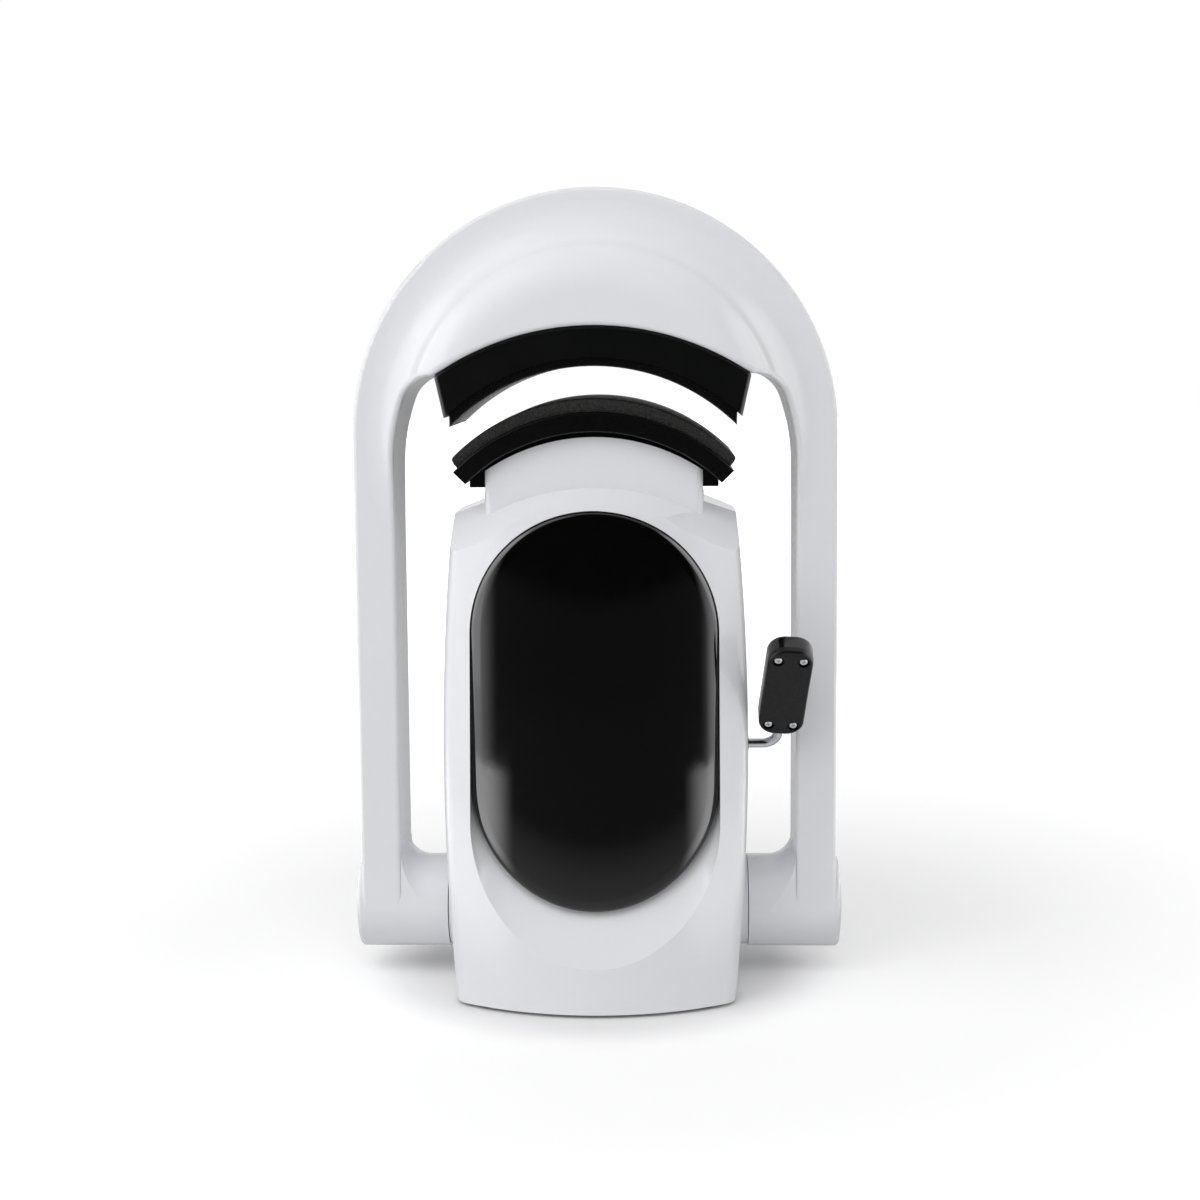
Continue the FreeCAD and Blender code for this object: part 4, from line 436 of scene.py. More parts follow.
@dataclass
class Studio:
    """White floor, soft lamps and the camera at the photograph's angle, all in metres.

    Spans are the distances or directions between which a glow runs from its low to its high end.
    """

    floor_half: float = 9.0
    distance: float = 1.100
    aim_x: float = 0.0019
    height: float = 0.352
    azimuth: float = 1.8
    pitch: float = 5.53
    roll: float = 0.45
    lens: float = 58.92
    shift_y: float = -0.05
    sensor: float = 36.0
    clip: Tuple[float, float] = (0.02, 60.0)
    room_light: float = 0.38
    room_front: float = 0.01
    room_span: Tuple[float, float] = (-0.62, 0.15)
    side_glow: float = 2.0
    side_span: Tuple[float, float] = (0.67, 0.82)
    table_glow: float = 3.8
    table_span: Tuple[float, float] = (0.57, 0.76)
    table_end: Tuple[float, float] = (1.12, 1.16)
    mirror_span: Tuple[float, float] = (0.24, 0.50)
    paper: Colour = (0.85, 0.85, 0.855)
    paper_rough: float = 0.7
    # Painted dark reflection: glossy rays see the floor's colour turn this dark towards the front, between
    # these places along Y, while the camera sees it white.
    painted_dark_reflection_colour: Colour = (0.04, 0.04, 0.04)
    painted_dark_reflection_span: Tuple[float, float] = (-0.15, -0.70)
    paper_glow: float = 0.30
    glow_span: Tuple[float, float] = (0.25, 1.6)
    # Painted shade round the base: the floor's glow to the camera drops to this share within these distances
    # of the middle.
    painted_base_shade_glow: float = 0.10
    painted_base_shade_span: Tuple[float, float] = (0.095, 0.140)
    lamps: List[Lamp] = field(default_factory=lambda: [
        Lamp("left_box", (-1.62, -0.60, 0.60), (1.2, 1.2), 3.1),
        Lamp("front_left_box", (-1.10, -1.35, 0.70), (1.0, 0.9), 2.2, mirrored=False),
        Lamp("right_box", (1.62, -0.40, 0.80), (1.2, 1.2), 3.6),
        Lamp("top_front_box", (-0.20, -1.20, 1.70), (2.0, 1.2), 13.2, mirrored=False),
        Lamp("top_left_box", (-1.20, -0.60, 1.60), (1.4, 1.4), 6.3),
    ])

    def floor(self) -> bpy.types.Object:
        """Makes the floor, which keeps the shadow and is white to the camera elsewhere, except for a painted
        shade round the base, where its glow to the camera is lowered. Reflections see it painted dark in
        front and glowing towards its sides.

        Returns:
            The floor object.
        """
        floor = fresh(bpy.ops.mesh.primitive_plane_add, size=2 * self.floor_half)
        floor.name = "floor"
        material = bpy.data.materials.new("floor_paper")
        material.use_nodes = True
        net = Net(material.node_tree)
        rays = net.add("LightPath").outputs
        place = net.add("TexCoord").outputs["Object"]
        reach = net.add("VectorMath", {0: place}, operation="LENGTH").outputs["Value"]
        split = net.add("SeparateXYZ", {0: place}).outputs
        far = net.ramp(reach, self.glow_span, self.paper_glow, kind="LINEAR")
        # Painted shade: the glow to the camera is lowered near the base, which darkens the floor round it.
        close = net.ramp(reach, self.painted_base_shade_span, self.painted_base_shade_glow)
        seen = net.math("MULTIPLY", net.math("MULTIPLY", far, close), rays["Is Camera Ray"])
        aside = net.math("DIVIDE", net.math("ABSOLUTE", split["X"]), reach)
        glow = net.mix(net.ramp(reach, self.table_end, kind="LINEAR"),
                       net.ramp(aside, self.table_span, high=self.table_glow),
                       net.ramp(aside, self.side_span, high=self.side_glow))
        lit = net.math("MULTIPLY", glow, net.ramp(reach, self.mirror_span, kind="LINEAR"))
        # Painted dark reflection: for glossy rays only, the floor's colour darkens towards the front.
        front = net.ramp(split["Y"], self.painted_dark_reflection_span, kind="LINEAR")
        colour = net.mix(net.math("MULTIPLY", front, rays["Is Glossy Ray"]), (*self.paper, 1.0),
                         (*self.painted_dark_reflection_colour, 1.0), "RGBA")
        net.feed(material.node_tree.nodes["Principled BSDF"], {
            "Roughness": self.paper_rough, "Emission Color": (1.0, 1.0, 1.0, 1.0), "Base Color": colour,
            "Emission Strength": net.math("MULTIPLY_ADD", lit, rays["Is Glossy Ray"], seen)})
        floor.data.materials.append(material)
        return floor

    def world(self) -> None:
        """Sets a pale room: white to the camera, dark in front and white behind for reflections."""
        world = bpy.data.worlds.new("studio")
        bpy.context.scene.world = world
        world.use_nodes = True
        tree = world.node_tree
        tree.nodes.clear()
        net = Net(tree)
        rays = net.add("LightPath").outputs
        split = net.add("SeparateXYZ", {0: net.add("TexCoord").outputs["Generated"]}).outputs
        behind = net.ramp(split["Y"], self.room_span, self.room_front)
        sides = net.ramp(net.math("ABSOLUTE", split["X"]), self.side_span, high=self.side_glow)
        glossy = net.mix(rays["Is Glossy Ray"], self.room_light, net.math("ADD", behind, sides))
        room = net.add("Background", {"Color": (1.0, 1.0, 1.0, 1.0),
                                      "Strength": net.mix(rays["Is Camera Ray"], glossy, 1.0)})
        net.add("OutputWorld", {"Surface": room.outputs[0]})

    def camera(self) -> bpy.types.Object:
        """Places the camera.

        Returns:
            The camera object.
        """
        data = bpy.data.cameras.new("camera")
        data.sensor_fit = "HORIZONTAL"
        data.sensor_width = self.sensor
        data.lens = self.lens
        data.shift_y = self.shift_y
        data.clip_start, data.clip_end = self.clip
        camera = bpy.data.objects.new("camera", data)
        bpy.context.scene.collection.objects.link(camera)
        turn = math.radians(self.azimuth)
        place = Vector((self.distance * math.sin(turn) + self.aim_x, -self.distance * math.cos(turn),
                        self.height))
        camera.matrix_world = (Matrix.Translation(place) @ Matrix.Rotation(turn, 4, "Z")
                               @ Matrix.Rotation(math.radians(90.0 - self.pitch), 4, "X")
                               @ Matrix.Rotation(math.radians(-self.roll), 4, "Z"))
        bpy.context.scene.camera = camera
        return camera

    def build(self) -> None:
        """Makes the whole studio."""
        bpy.context.scene.view_settings.view_transform = "Standard"
        self.floor()
        self.world()
        for lamp in self.lamps:
            lamp.build()
        self.camera()
        log.info("studio ready")


def paint(piece: bpy.types.Object, finish: Finish, smooth_degrees: float = 30.0) -> None:
    """Gives a piece its finish and smooth shading over its gentle edges.

    Args:
        piece: The object to dress.
        finish: Its finish.
        smooth_degrees: Angle above which an edge stays sharp.
    """
    piece.data.materials.clear()
    piece.data.materials.append(finish.material())
    set_active(piece)
    bpy.ops.object.shade_smooth_by_angle(angle=math.radians(smooth_degrees))


def declare(piece: bpy.types.Object, body: str, node: Optional[str] = None) -> bpy.types.Object:
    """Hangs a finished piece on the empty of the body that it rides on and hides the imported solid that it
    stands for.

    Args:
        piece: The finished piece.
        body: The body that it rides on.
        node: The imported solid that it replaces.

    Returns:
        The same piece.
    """
    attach(piece, body)
    if node is not None:
        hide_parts(node)
    log.info("%s: %d faces", piece.name, len(piece.data.polygons))
    return piece


def fresh(add: Callable[..., object], **settings: object) -> bpy.types.Object:
    """Adds a primitive.

    Args:
        add: The operator that adds it.
        **settings: What the operator is told.

    Returns:
        The new object, alone selected.
    """
    bpy.ops.object.select_all(action="DESELECT")
    add(**settings)
    return bpy.context.active_object


def block(size: Point, place: Point = (0.0, 0.0, 0.0), turn: float = 0.0) -> bpy.types.Object:
    """Makes a block.

    Args:
        size: Its size along each axis.
        place: Its centre.
        turn: Its turn about the vertical, in degrees.

    Returns:
        The block, its object at the origin.
    """
    piece = fresh(bpy.ops.mesh.primitive_cube_add, size=1.0)
    piece.scale = size
    piece.rotation_euler = (0.0, 0.0, math.radians(turn))
    piece.location = place
    settle(piece)
    return piece


def duplicate(piece: bpy.types.Object) -> bpy.types.Object:
    """Copies a piece with a mesh of its own.

    Args:
        piece: The object to copy.

    Returns:
        The copy.
    """
    copy = piece.copy()
    copy.data = piece.data.copy()
    bpy.context.scene.collection.objects.link(copy)
    return copy


def leave_editing() -> None:
    """Goes back to object mode."""
    bpy.ops.object.mode_set(mode="OBJECT")


def pick(piece: bpy.types.Object, kind: str, mark: Callable[[bpy.types.Mesh], None]) -> None:
    """Opens a piece for editing with chosen elements selected.

    Args:
        piece: The object to edit.
        kind: VERT, EDGE or FACE.
        mark: Sets the selection on the mesh.
    """
    set_active(piece)
    bpy.ops.object.mode_set(mode="EDIT")
    bpy.ops.mesh.select_mode(type=kind)
    bpy.ops.mesh.select_all(action="DESELECT")
    leave_editing()
    mark(piece.data)
    bpy.ops.object.mode_set(mode="EDIT")


def pick_faces(piece: bpy.types.Object, test: Callable[[bpy.types.MeshPolygon], bool]) -> None:
    """Opens a piece for editing with the faces selected that pass a test.

    Args:
        piece: The object to edit.
        test: Says whether a face is wanted.
    """
    def mark(mesh: bpy.types.Mesh) -> None:
        """Selects the faces."""
        for polygon in mesh.polygons:
            polygon.select = test(polygon)
    pick(piece, "FACE", mark)


def pick_points(piece: bpy.types.Object, test: Callable[[Vector], bool]) -> None:
    """Opens a piece for editing with the vertices selected that pass a test.

    Args:
        piece: The object to edit.
        test: Says whether a place is wanted.
    """
    def mark(mesh: bpy.types.Mesh) -> None:
        """Selects the vertices."""
        for vertex in mesh.vertices:
            vertex.select = test(vertex.co)
    pick(piece, "VERT", mark)


def pick_edges(piece: bpy.types.Object, test: Callable[[Vector, Vector], bool]) -> None:
    """Opens a piece for editing with the edges selected that pass a test.

    Args:
        piece: The object to edit.
        test: Says whether an edge is wanted, from the places of its two ends.
    """
    def mark(mesh: bpy.types.Mesh) -> None:
        """Selects the edges."""
        for edge in mesh.edges:
            edge.select = test(*(mesh.vertices[i].co for i in edge.vertices))
    pick(piece, "EDGE", mark)


def join(pieces: List[bpy.types.Object], name: str) -> bpy.types.Object:
    """Joins pieces into one object.

    Args:
        pieces: The objects to join.
        name: Name of the result.

    Returns:
        The joined object.
    """
    set_active(pieces[0])
    for piece in pieces:
        piece.select_set(True)
    bpy.ops.object.join()
    joined = bpy.context.active_object
    joined.name = name
    settle(joined)
    return joined


def rod(radius: float, length: float, place: Point, axis: str = "Z", sides: int = 128) -> bpy.types.Object:
    """Makes a round bar.

    Args:
        radius: Its radius.
        length: Its length.
        place: Its centre.
        axis: The axis that it lies along.
        sides: Number of flats.

    Returns:
        The bar, its object at the origin.
    """
    bar = fresh(bpy.ops.mesh.primitive_cylinder_add, vertices=sides, radius=radius, depth=length)
    bar.rotation_euler = {"X": (0.0, math.radians(90.0), 0.0), "Y": (math.radians(90.0), 0.0, 0.0),
                          "Z": (0.0, 0.0, 0.0)}[axis]
    bar.location = place
    settle(bar)
    return bar


def combine(piece: bpy.types.Object, tool: bpy.types.Object, operation: str) -> None:
    """Cuts, joins or trims a piece with another, which is used up.

    Args:
        piece: The object that keeps the result.
        tool: The other object.
        operation: DIFFERENCE, UNION or INTERSECT.
    """
    step = piece.modifiers.new("combine", "BOOLEAN")
    step.operation = operation
    step.object = tool
    apply_modifiers(piece)
    bpy.data.objects.remove(tool)


@dataclass
class FoamPad:
    """Silicone sponge pad on the lower platen, smooth above and open-celled at its cut sides.

    Radii, heights and half widths are those of the curved slab, in metres.
    """

    top_radius: float = 0.1079
    top_z: float = 0.3263
    top_half: float = 0.0770
    low_radius: float = 0.1062
    low_z: float = 0.3186
    low_half: float = 0.0735
    half_depth: float = 0.0450
    edge_sink: float = 0.0006
    edge_reach: float = 0.0022
    side_swell: float = 0.0004
    pit_depth: float = 0.0005
    pit_size: float = 0.0011
    pit_turbulence: float = 3.0
    pit_level: float = 0.9
    cuts: Tuple[int, int, int] = (219, 119, 9)
    side_gap: float = 0.0004
    pitted_band: float = 0.0012
    pitted_facing: float = 0.6
    cut_band: float = 0.0020
    cut_facing: float = 0.55
    end_facing: Tuple[float, float] = (0.3, 0.45)

    def slab(self) -> bpy.types.Object:
        """Makes a flat block with even faces.

        Returns:
            The block, with X, Y and Z from -1 to 1.
        """
        slab = fresh(bpy.ops.mesh.primitive_cube_add, size=2.0)
        slab.name = "foam_pad_soft"
        mesh = bmesh.new()
        mesh.from_mesh(slab.data)
        for axis, cuts in enumerate(self.cuts):
            edges = [e for e in mesh.edges if abs((e.verts[0].co - e.verts[1].co)[axis]) > 1e-6]
            bmesh.ops.subdivide_edges(mesh, edges=edges, cuts=cuts, use_grid_fill=True)
        mesh.to_mesh(slab.data)
        mesh.free()
        return slab

    def shape(self, piece: bpy.types.Object) -> None:
        """Bends the block to the platen and gives it soft edges and swelling sides.

        Args:
            piece: The flat block.
        """
        for vertex in piece.data.vertices:
            across, deep, high = vertex.co
            lift = 0.5 * (high + 1.0)
            top_angle = across * math.asin(self.top_half / self.top_radius)
            low_angle = across * math.asin(self.low_half / self.low_radius)
            top = Vector((self.top_radius * math.sin(top_angle), 0.0,
                          self.top_z - self.top_radius * (1.0 - math.cos(top_angle))))
            low = Vector((self.low_radius * math.sin(low_angle), 0.0,
                          self.low_z - self.low_radius * (1.0 - math.cos(low_angle))))
            to_end = (1.0 - abs(across)) * self.top_half
            to_side = (1.0 - abs(deep)) * self.half_depth
            near = min(to_end, to_side)
            fall = self.edge_sink * max(0.0, 1.0 - near / self.edge_reach) ** 2
            normal = Vector((math.sin(top_angle), 0.0, math.cos(top_angle)))
            point = low.lerp(top, lift) - normal * fall * lift
            swell = self.side_swell * math.sin(math.pi * lift)
            y = deep * (self.half_depth + (swell if abs(deep) > 0.999 else 0.0) - self.side_gap)
            vertex.co = (point.x + (math.copysign(swell, across) if abs(across) > 0.999 else 0.0), y, point.z)

    def pit(self, piece: bpy.types.Object) -> None:
        """Roughens the cut sides with pits.

        Args:
            piece: The bent pad.
        """
        cut = piece.vertex_groups.new(name="cut_sides")
        sides = [v.index for v in piece.data.vertices
                 if abs(abs(v.co.y) - self.half_depth) < self.pitted_band
                 or abs(v.normal.y) > self.pitted_facing]
        cut.add(sides, 1.0, "REPLACE")
        texture = bpy.data.textures.new("pits", "STUCCI")
        texture.noise_scale = self.pit_size
        texture.turbulence = self.pit_turbulence
        rough = piece.modifiers.new("pits", "DISPLACE")
        rough.texture = texture
        rough.strength = self.pit_depth
        rough.mid_level = self.pit_level
        rough.vertex_group = "cut_sides"
        apply_modifiers(piece)

    def build(self) -> bpy.types.Object:
        """Returns:
            The finished pad.
        """
        pad = self.slab()
        self.shape(pad)
        self.pit(pad)
        for polygon in pad.data.polygons:
            polygon.use_smooth = True
        pad.data.materials.append(FOAM_SKIN.material())
        # The cut sides take the cell finish, with painted shade in its pits.
        pad.data.materials.append(FOAM_CELLS_PIT_SHADED.material())
        for polygon in pad.data.polygons:
            centre = polygon.center
            at_side = (abs(polygon.normal.y) > self.cut_facing
                       and abs(centre.y) > self.half_depth - self.cut_band)
            at_end = (abs(centre.x) > self.low_half and abs(polygon.normal.y) < self.end_facing[0]
                      and polygon.normal.z < self.end_facing[1])
            polygon.material_index = 1 if at_side or at_end else 0
        declare(pad, "platen", "foam_pad")
        return pad


@dataclass
class PanelGlass:
    """Bowed glossy panel with a rounded rim, seated on the ledge of its recess, in metres and degrees."""

    half_width: float = 0.0670
    low_z: float = 0.0527
    high_z: float = 0.2668
    face_y: float = -0.0650
    face_bow: float = 0.1600
    face_lean: float = 3.0
    seat_y: float = -0.0615
    seat_bow: float = 0.1215
    seat_lean: float = 1.6
    rim_radius: float = 0.0030
    rim_steps: int = 6
    ring_step: float = 0.0040
    core: float = 0.0020
    blank_depth: float = 0.02
    sides: int = 256
    wall_sides: int = 1024
    wall_length: float = 1.0
    ring_slack: float = 3e-5
    smooth: float = 40.0

    def wall(self, y: float, bow: float, lean: float) -> bpy.types.Object:
        """Makes the round wall that one side of the panel follows.

        Args:
            y: Place of the wall at the panel's upper end.
            bow: Radius of the wall.
            lean: Lean of the wall.

        Returns:
            The wall, a long cylinder.
        """
        wall = fresh(bpy.ops.mesh.primitive_cylinder_add, vertices=self.wall_sides, radius=bow,
                     depth=self.wall_length, end_fill_type="NOTHING")
        wall.rotation_euler = (math.radians(-lean), 0.0, 0.0)
        wall.location = (0.0, y + bow - math.tan(math.radians(lean)) * self.high_z, 0.0)
        settle(wall)
        return wall

    def edge_distance(self, place: Vector) -> float:
        """Gives the distance of a place from the panel's outline."""
        z = min(max(place.z, self.low_z + self.half_width), self.high_z - self.half_width)
        return self.half_width - math.hypot(place.x, place.z - z)

    def rim_place(self, step: int) -> float:
        """Gives how far a ring of the rounded rim lies inside the outline."""
        return self.rim_radius * (1.0 - math.cos(math.radians(90.0 * step / self.rim_steps)))

    def blank(self) -> bpy.types.Object:
        """Makes the flat panel with rings of faces on both sides.

        Returns:
            The blank.
        """
        middle = self.low_z + self.half_width
        blank = fresh(bpy.ops.mesh.primitive_cylinder_add, vertices=self.sides, radius=self.half_width,
                      depth=self.blank_depth)
        blank.name = "panel_glass"
        blank.rotation_euler = (math.radians(90.0), math.radians(180.0 / self.sides), 0.0)
        blank.location = (0.0, 0.0, middle)
        settle(blank)
        pick_points(blank, lambda place: place.z > middle)
        bpy.ops.transform.translate(value=(0.0, 0.0, self.high_z - self.low_z - 2 * self.half_width))
        leave_editing()
        pick_faces(blank, lambda polygon: abs(polygon.normal.y) > FACING)
        reach = 0.0
        for step in range(1, self.rim_steps + 1):
            bpy.ops.mesh.inset(thickness=self.rim_place(step) - reach, use_even_offset=True)
            reach = self.rim_place(step)
        while reach + self.ring_step < self.half_width - self.core:
            bpy.ops.mesh.inset(thickness=self.ring_step, use_even_offset=True)
            reach += self.ring_step
        leave_editing()
        return blank

    def press(self, blank: bpy.types.Object) -> None:
        """Lays the two sides of the blank on their walls and rounds the front rim.

        Args:
            blank: The flat panel.
        """
        walls = {"front": self.wall(self.face_y, self.face_bow, self.face_lean),
                 "rear": self.wall(self.seat_y, self.seat_bow, self.seat_lean)}
        for (name, wall), side in zip(walls.items(), (-1, 1)):
            group = blank.vertex_groups.new(name=name)
            group.add([v.index for v in blank.data.vertices if v.co.y * side > 0], 1.0, "REPLACE")
            press = blank.modifiers.new(name, "SHRINKWRAP")
            press.wrap_method = "PROJECT"
            press.use_project_y = True
            press.use_negative_direction = True
            press.use_positive_direction = False
            press.target = wall
            press.vertex_group = name
        faces = {v.index for v in blank.data.vertices if v.co.y < 0}
        to_edge = {i: self.edge_distance(blank.data.vertices[i].co) for i in faces}
        rings = [[i for i in faces if abs(to_edge[i] - self.rim_place(step)) < self.ring_slack]
                 for step in range(self.rim_steps)]
        apply_modifiers(blank)
        for step, ring in enumerate(rings):
            places = {tuple(blank.data.vertices[i].co) for i in ring}
            pick_points(blank, lambda place: tuple(place) in places)
            back = self.rim_radius * (1.0 - math.sin(math.radians(90.0 * step / self.rim_steps)))
            bpy.ops.transform.translate(value=(0.0, back, 0.0))
            leave_editing()
        for wall in walls.values():
            bpy.data.objects.remove(wall)

    def build(self) -> bpy.types.Object:
        """Returns:
            The finished panel.
        """
        glass = self.blank()
        self.press(glass)
        paint(glass, PANEL_BLACK, self.smooth)
        return declare(glass, "base", "panel")


@dataclass
class HubCaps:
    """Caps on the outer ends of the two barrels: a round rim that runs out into a flat crown, in metres."""

    axis_z: float = 0.0390
    radius: float = 0.0260
    start: float = 0.1330
    dome: float = 0.0045
    rim_radius: float = 0.0026
    rim_share: float = 0.98
    rim_segments: int = 8
    crown_steps: int = 6
    spigot_radius: float = 0.02325
    spigot_length: float = 0.0040

    def cap(self) -> bpy.types.Object:
        """Makes the right cap.

        Returns:
            The cap on the positive X side.
        """
        cap = rod(self.radius, self.rim_radius, (self.start + self.rim_radius / 2, 0.0, self.axis_z), "X")
        pick_faces(cap, lambda polygon: polygon.normal.x < -FACING)
        bpy.ops.mesh.inset(thickness=self.radius - self.spigot_radius)
        bpy.ops.mesh.extrude_region_move(TRANSFORM_OT_translate={"value": (-self.spigot_length, 0.0, 0.0)})
        leave_editing()
        pick_faces(cap, lambda polygon: polygon.normal.x > FACING and polygon.center.x > self.start + 0.0001)
        span = self.radius - self.rim_radius
        rise = self.dome - self.rim_radius
        bend = (span ** 2 + rise ** 2) / (2 * rise)
        height = 0.0
        bpy.ops.mesh.inset(thickness=self.rim_radius)
        for step in range(1, self.crown_steps + 1):
            along = span * (1.0 - step / (self.crown_steps + 1))
            lift = rise - (bend - math.sqrt(bend ** 2 - along ** 2))
            bpy.ops.mesh.inset(thickness=span / (self.crown_steps + 1))
            bpy.ops.transform.translate(value=(lift - height, 0.0, 0.0))
            height = lift
        leave_editing()
        return cap

    def build(self) -> bpy.types.Object:
        """Makes both caps.

        Returns:
            The joined caps.
        """
        right = self.cap()
        self._round_rim(right)
        left = duplicate(right)
        left.rotation_euler = (0.0, 0.0, math.radians(180.0))
        settle(left)
        caps = join([right, left], "hub_caps_domed")
        paint(caps, WHITE_GLOSS)
        return declare(caps, "arm", "hub_caps")

    def _round_rim(self, cap: bpy.types.Object) -> None:
        """Rounds the outer rim of a cap."""
        end = self.start + self.rim_radius
        pick_edges(cap, lambda a, b: all(
            abs(c.x - end) < 1e-6 and math.hypot(c.y, c.z - self.axis_z) > self.radius - 1e-5
            for c in (a, b)))
        bpy.ops.mesh.bevel(offset=self.rim_share * self.rim_radius, segments=self.rim_segments,
                           affect="EDGES")
        leave_editing()


@dataclass
class HubPlugs:
    """Plugs that close the front screw holes of the barrels flush with their round wall, in metres."""

    axis_z: float = 0.0390
    barrel_radius: float = 0.0260
    places_x: Tuple[float, ...] = (-0.1090, -0.0930, 0.0930, 0.1090)
    place_y: float = -0.0188
    radius: float = 0.00296
    top_z: float = 0.0268
    sides: int = 64
    barrel_length: float = 0.02
    barrel_sides: int = 512

    def build(self) -> bpy.types.Object:
        """Makes the four plugs.

        Returns:
            The joined plugs.
        """
        made = []
        for x in self.places_x:
            plug = rod(self.radius, self.top_z, (x, self.place_y, self.top_z / 2), sides=self.sides)
            barrel = rod(self.barrel_radius, self.barrel_length, (x, 0.0, self.axis_z), "X",
                         self.barrel_sides)
            combine(plug, barrel, "INTERSECT")
            made.append(plug)
        plugs = join(made, "hub_screw_plugs")
        paint(plugs, WHITE_GLOSS)
        return declare(plugs, "arm")


@dataclass(frozen=True)
class Grip:
    """Place of the grip on the lever's rod and of the screws in it, in metres and degrees."""

    corner: Point = (0.0993, -0.025, 0.1346)
    lean: float = 35.0
    splay: float = 4.5
    middle: float = 0.0445
    screw_x: float = 0.00675
    screw_z: float = 0.0240

    def place(self) -> Matrix:
        """Gives the matrix from the grip's own frame to the press's."""
        return (Matrix.Translation(self.corner) @ Matrix.Rotation(math.radians(self.lean), 4, "X")
                @ Matrix.Rotation(math.radians(self.splay), 4, "Y"))


@dataclass
class GripPlates:
    """Front plate and back of the grip, two slabs with large round corners, in metres."""

    grip: Grip = field(default_factory=Grip)
    start: float = 0.0138
    length: float = 0.0624
    width: float = 0.0245
    front_y: float = -0.0070
    split_y: float = -0.0030
    back_y: float = 0.0070
    corner_radius: float = 0.0095
    corner_segments: int = 16
    edge_segments: int = 6
    front_edge: float = 0.0015
    back_edge: float = 0.0030
    sink: float = 0.0020
    sink_radius: float = 0.00313
    sink_sides: int = 48

    def slab(self, low_y: float, high_y: float, face: int, edge: float) -> bpy.types.Object:
        """Makes one slab with round corners and one soft face.

        Args:
            low_y: Front of the slab.
            high_y: Back of the slab.
            face: Side of the soft face, -1 for the front and 1 for the back.
            edge: Radius along that face.

        Returns:
            The slab in the grip's own frame.
        """
        slab = block((self.width, high_y - low_y, self.length),
                     (0.0, (low_y + high_y) / 2, self.start + self.length / 2))
        pick_edges(slab, lambda a, b: abs(a.y - b.y) > 0.001)
        bpy.ops.mesh.bevel(offset=self.corner_radius, segments=self.corner_segments, affect="EDGES")
        leave_editing()
        pick_faces(slab, lambda polygon: polygon.normal.y * face > FACING)
        bpy.ops.mesh.region_to_loop()
        bpy.ops.mesh.bevel(offset=edge, segments=self.edge_segments, affect="EDGES")
        leave_editing()
        return slab

    def finish(self, slab: bpy.types.Object, name: str, finish: Finish) -> None:
        """Args:
            slab: The slab in the grip's own frame.
            name: The node that it replaces.
            finish: Its finish.
        """
        slab.data.transform(self.grip.place())
        slab.name = name + "_rounded"
        paint(slab, finish)
        declare(slab, "lever", name)

    def build(self) -> None:
        """Makes the two halves of the grip."""
        front = self.slab(self.front_y, self.split_y, -1, self.front_edge)
        for x in (-self.grip.screw_x, self.grip.screw_x):
            for z in (self.grip.middle - self.grip.screw_z, self.grip.middle + self.grip.screw_z):
                pocket = rod(self.sink_radius, 2 * self.sink, (x, self.front_y, z), "Y", self.sink_sides)
                combine(front, pocket, "DIFFERENCE")
        self.finish(front, "grip_front", BLACK_PLASTIC)
        back = self.slab(self.split_y, self.back_y, 1, self.back_edge)
        self.finish(back, "grip_back", BLACK_GLOSS)


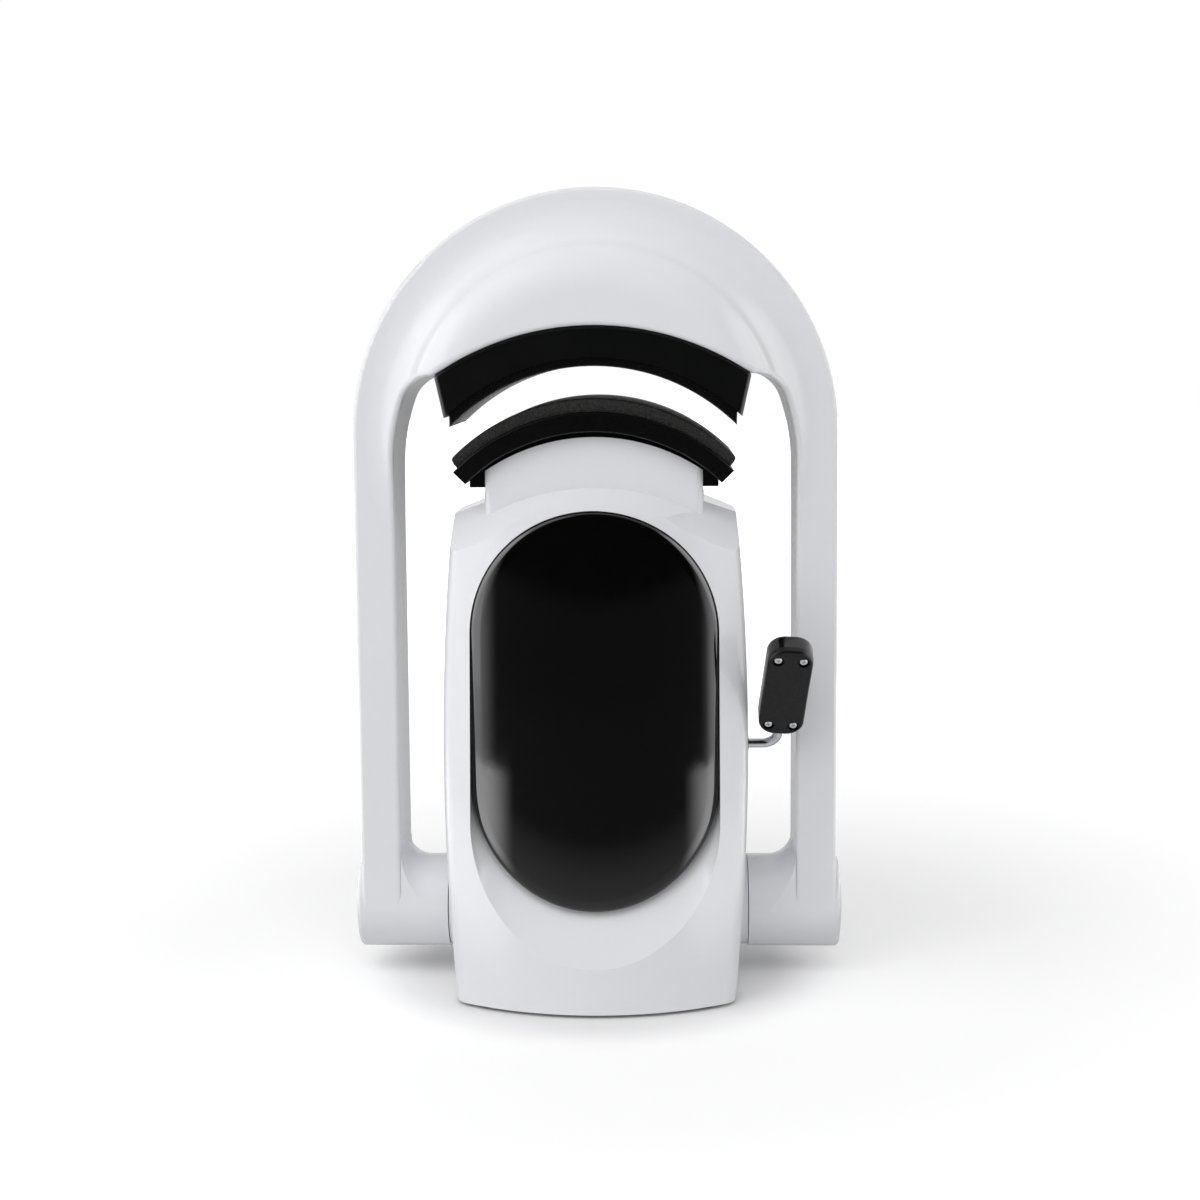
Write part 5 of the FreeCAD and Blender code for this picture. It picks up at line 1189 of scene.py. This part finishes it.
@dataclass
class GripScrews:
    """Four pan-head screws with cross recesses in the front of the grip, in metres and degrees."""

    grip: Grip = field(default_factory=Grip)
    seat: float = -0.005
    twist: float = 31.0
    shank_radius: float = 0.0012
    head_radius: float = 0.00228
    head_height: float = 0.00132
    head_sides: int = 48
    head_round: float = 0.48
    head_segments: int = 5
    length: float = 0.009
    slot_width: float = 0.00052
    slot_length: float = 0.0027
    slot_depth: float = 0.0009
    slot_taper: float = 0.45

    def screw(self) -> bpy.types.Object:
        """Makes one screw that points down, its head above the origin.

        Returns:
            The screw with its cross recess.
        """
        screw = rod(self.head_radius, self.head_height, (0.0, 0.0, self.head_height / 2),
                    sides=self.head_sides)
        pick_faces(screw, lambda polygon: polygon.normal.z > FACING)
        bpy.ops.mesh.bevel(offset=self.head_round * self.head_height, segments=self.head_segments,
                           affect="EDGES")
        pick_faces(screw, lambda polygon: polygon.normal.z < -FACING)
        bpy.ops.mesh.inset(thickness=self.head_radius - self.shank_radius)
        bpy.ops.mesh.extrude_region_move(TRANSFORM_OT_translate={"value": (0.0, 0.0, -self.length)})
        leave_editing()
        for turn in (0.0, 90.0):
            self._recess(screw, turn)
        return screw

    def _recess(self, screw: bpy.types.Object, turn: float) -> None:
        """Cuts one tapered slot of the cross.

        Args:
            screw: The screw to cut.
            turn: Direction of the slot.
        """
        cutter = block((self.slot_length, self.slot_width, 2 * self.slot_depth),
                       (0.0, 0.0, self.head_height), turn)
        pick_faces(cutter, lambda polygon: polygon.normal.z < -FACING)
        bpy.ops.transform.resize(value=(self.slot_taper, self.slot_taper, 1.0))
        leave_editing()
        combine(screw, cutter, "DIFFERENCE")

    def build(self) -> bpy.types.Object:
        """Makes the four screws and puts them into the grip.

        Returns:
            The joined screws.
        """
        master = self.screw()
        made = []
        for index, (side, end) in enumerate(((-1, -1), (1, -1), (-1, 1), (1, 1))):
            copy = duplicate(master)
            spot = Matrix.Translation((side * self.grip.screw_x, self.seat,
                                       self.grip.middle + end * self.grip.screw_z))
            turn = (Matrix.Rotation(math.radians(90.0), 4, "X")
                    @ Matrix.Rotation(math.radians(self.twist * index), 4, "Z"))
            copy.data.transform(self.grip.place() @ spot @ turn)
            made.append(copy)
        bpy.data.objects.remove(master)
        screws = join(made, "grip_screws_crossed")
        paint(screws, SCREW_STEEL)
        return declare(screws, "lever", "grip_screws")


@dataclass
class RockerMarks:
    """Raised bar and ring for on and off on the two wings of the rocker, in metres and degrees."""

    pivot: Point = (0.022, 0.077, 0.042)
    tip: float = -8.0
    wing_slope: float = 11.8
    wing_middle: float = 0.0048
    wing_height: float = 0.0052
    mark_half: float = 0.0015
    line: float = 0.0004
    rise: float = 0.00012

    def build(self) -> bpy.types.Object:
        """Makes both marks on the rocker.

        Returns:
            The joined marks.
        """
        bar = block((self.line, 2 * self.mark_half, 2 * self.rise))
        ring = fresh(bpy.ops.mesh.primitive_torus_add, major_segments=48, minor_segments=8,
                     major_radius=self.mark_half, minor_radius=self.line / 2)
        ring.scale = (1.0, 1.0, 2 * self.rise / self.line)
        settle(ring)
        tip = Matrix.Translation(self.pivot) @ Matrix.Rotation(math.radians(self.tip), 4, "X")
        for mark, side in ((bar, 1), (ring, -1)):
            spot = Matrix.Translation((0.0, self.wing_height, side * self.wing_middle))
            slope = Matrix.Rotation(math.radians(-90.0 - side * self.wing_slope), 4, "X")
            mark.data.transform(tip @ spot @ slope)
        marks = join([bar, ring], "rocker_marks")
        paint(marks, PRINT_WHITE)
        return declare(marks, "switch")


def main() -> None:
    """Builds the studio, the finishes and the pieces in order."""
    logging.basicConfig(level=logging.INFO)
    Studio().build()
    dress_nodes()
    for piece in (FoamPad(), PanelGlass(), HubCaps(), HubPlugs(), GripPlates(), GripScrews(), RockerMarks()):
        piece.build()


if __name__ == "__main__":
    main()
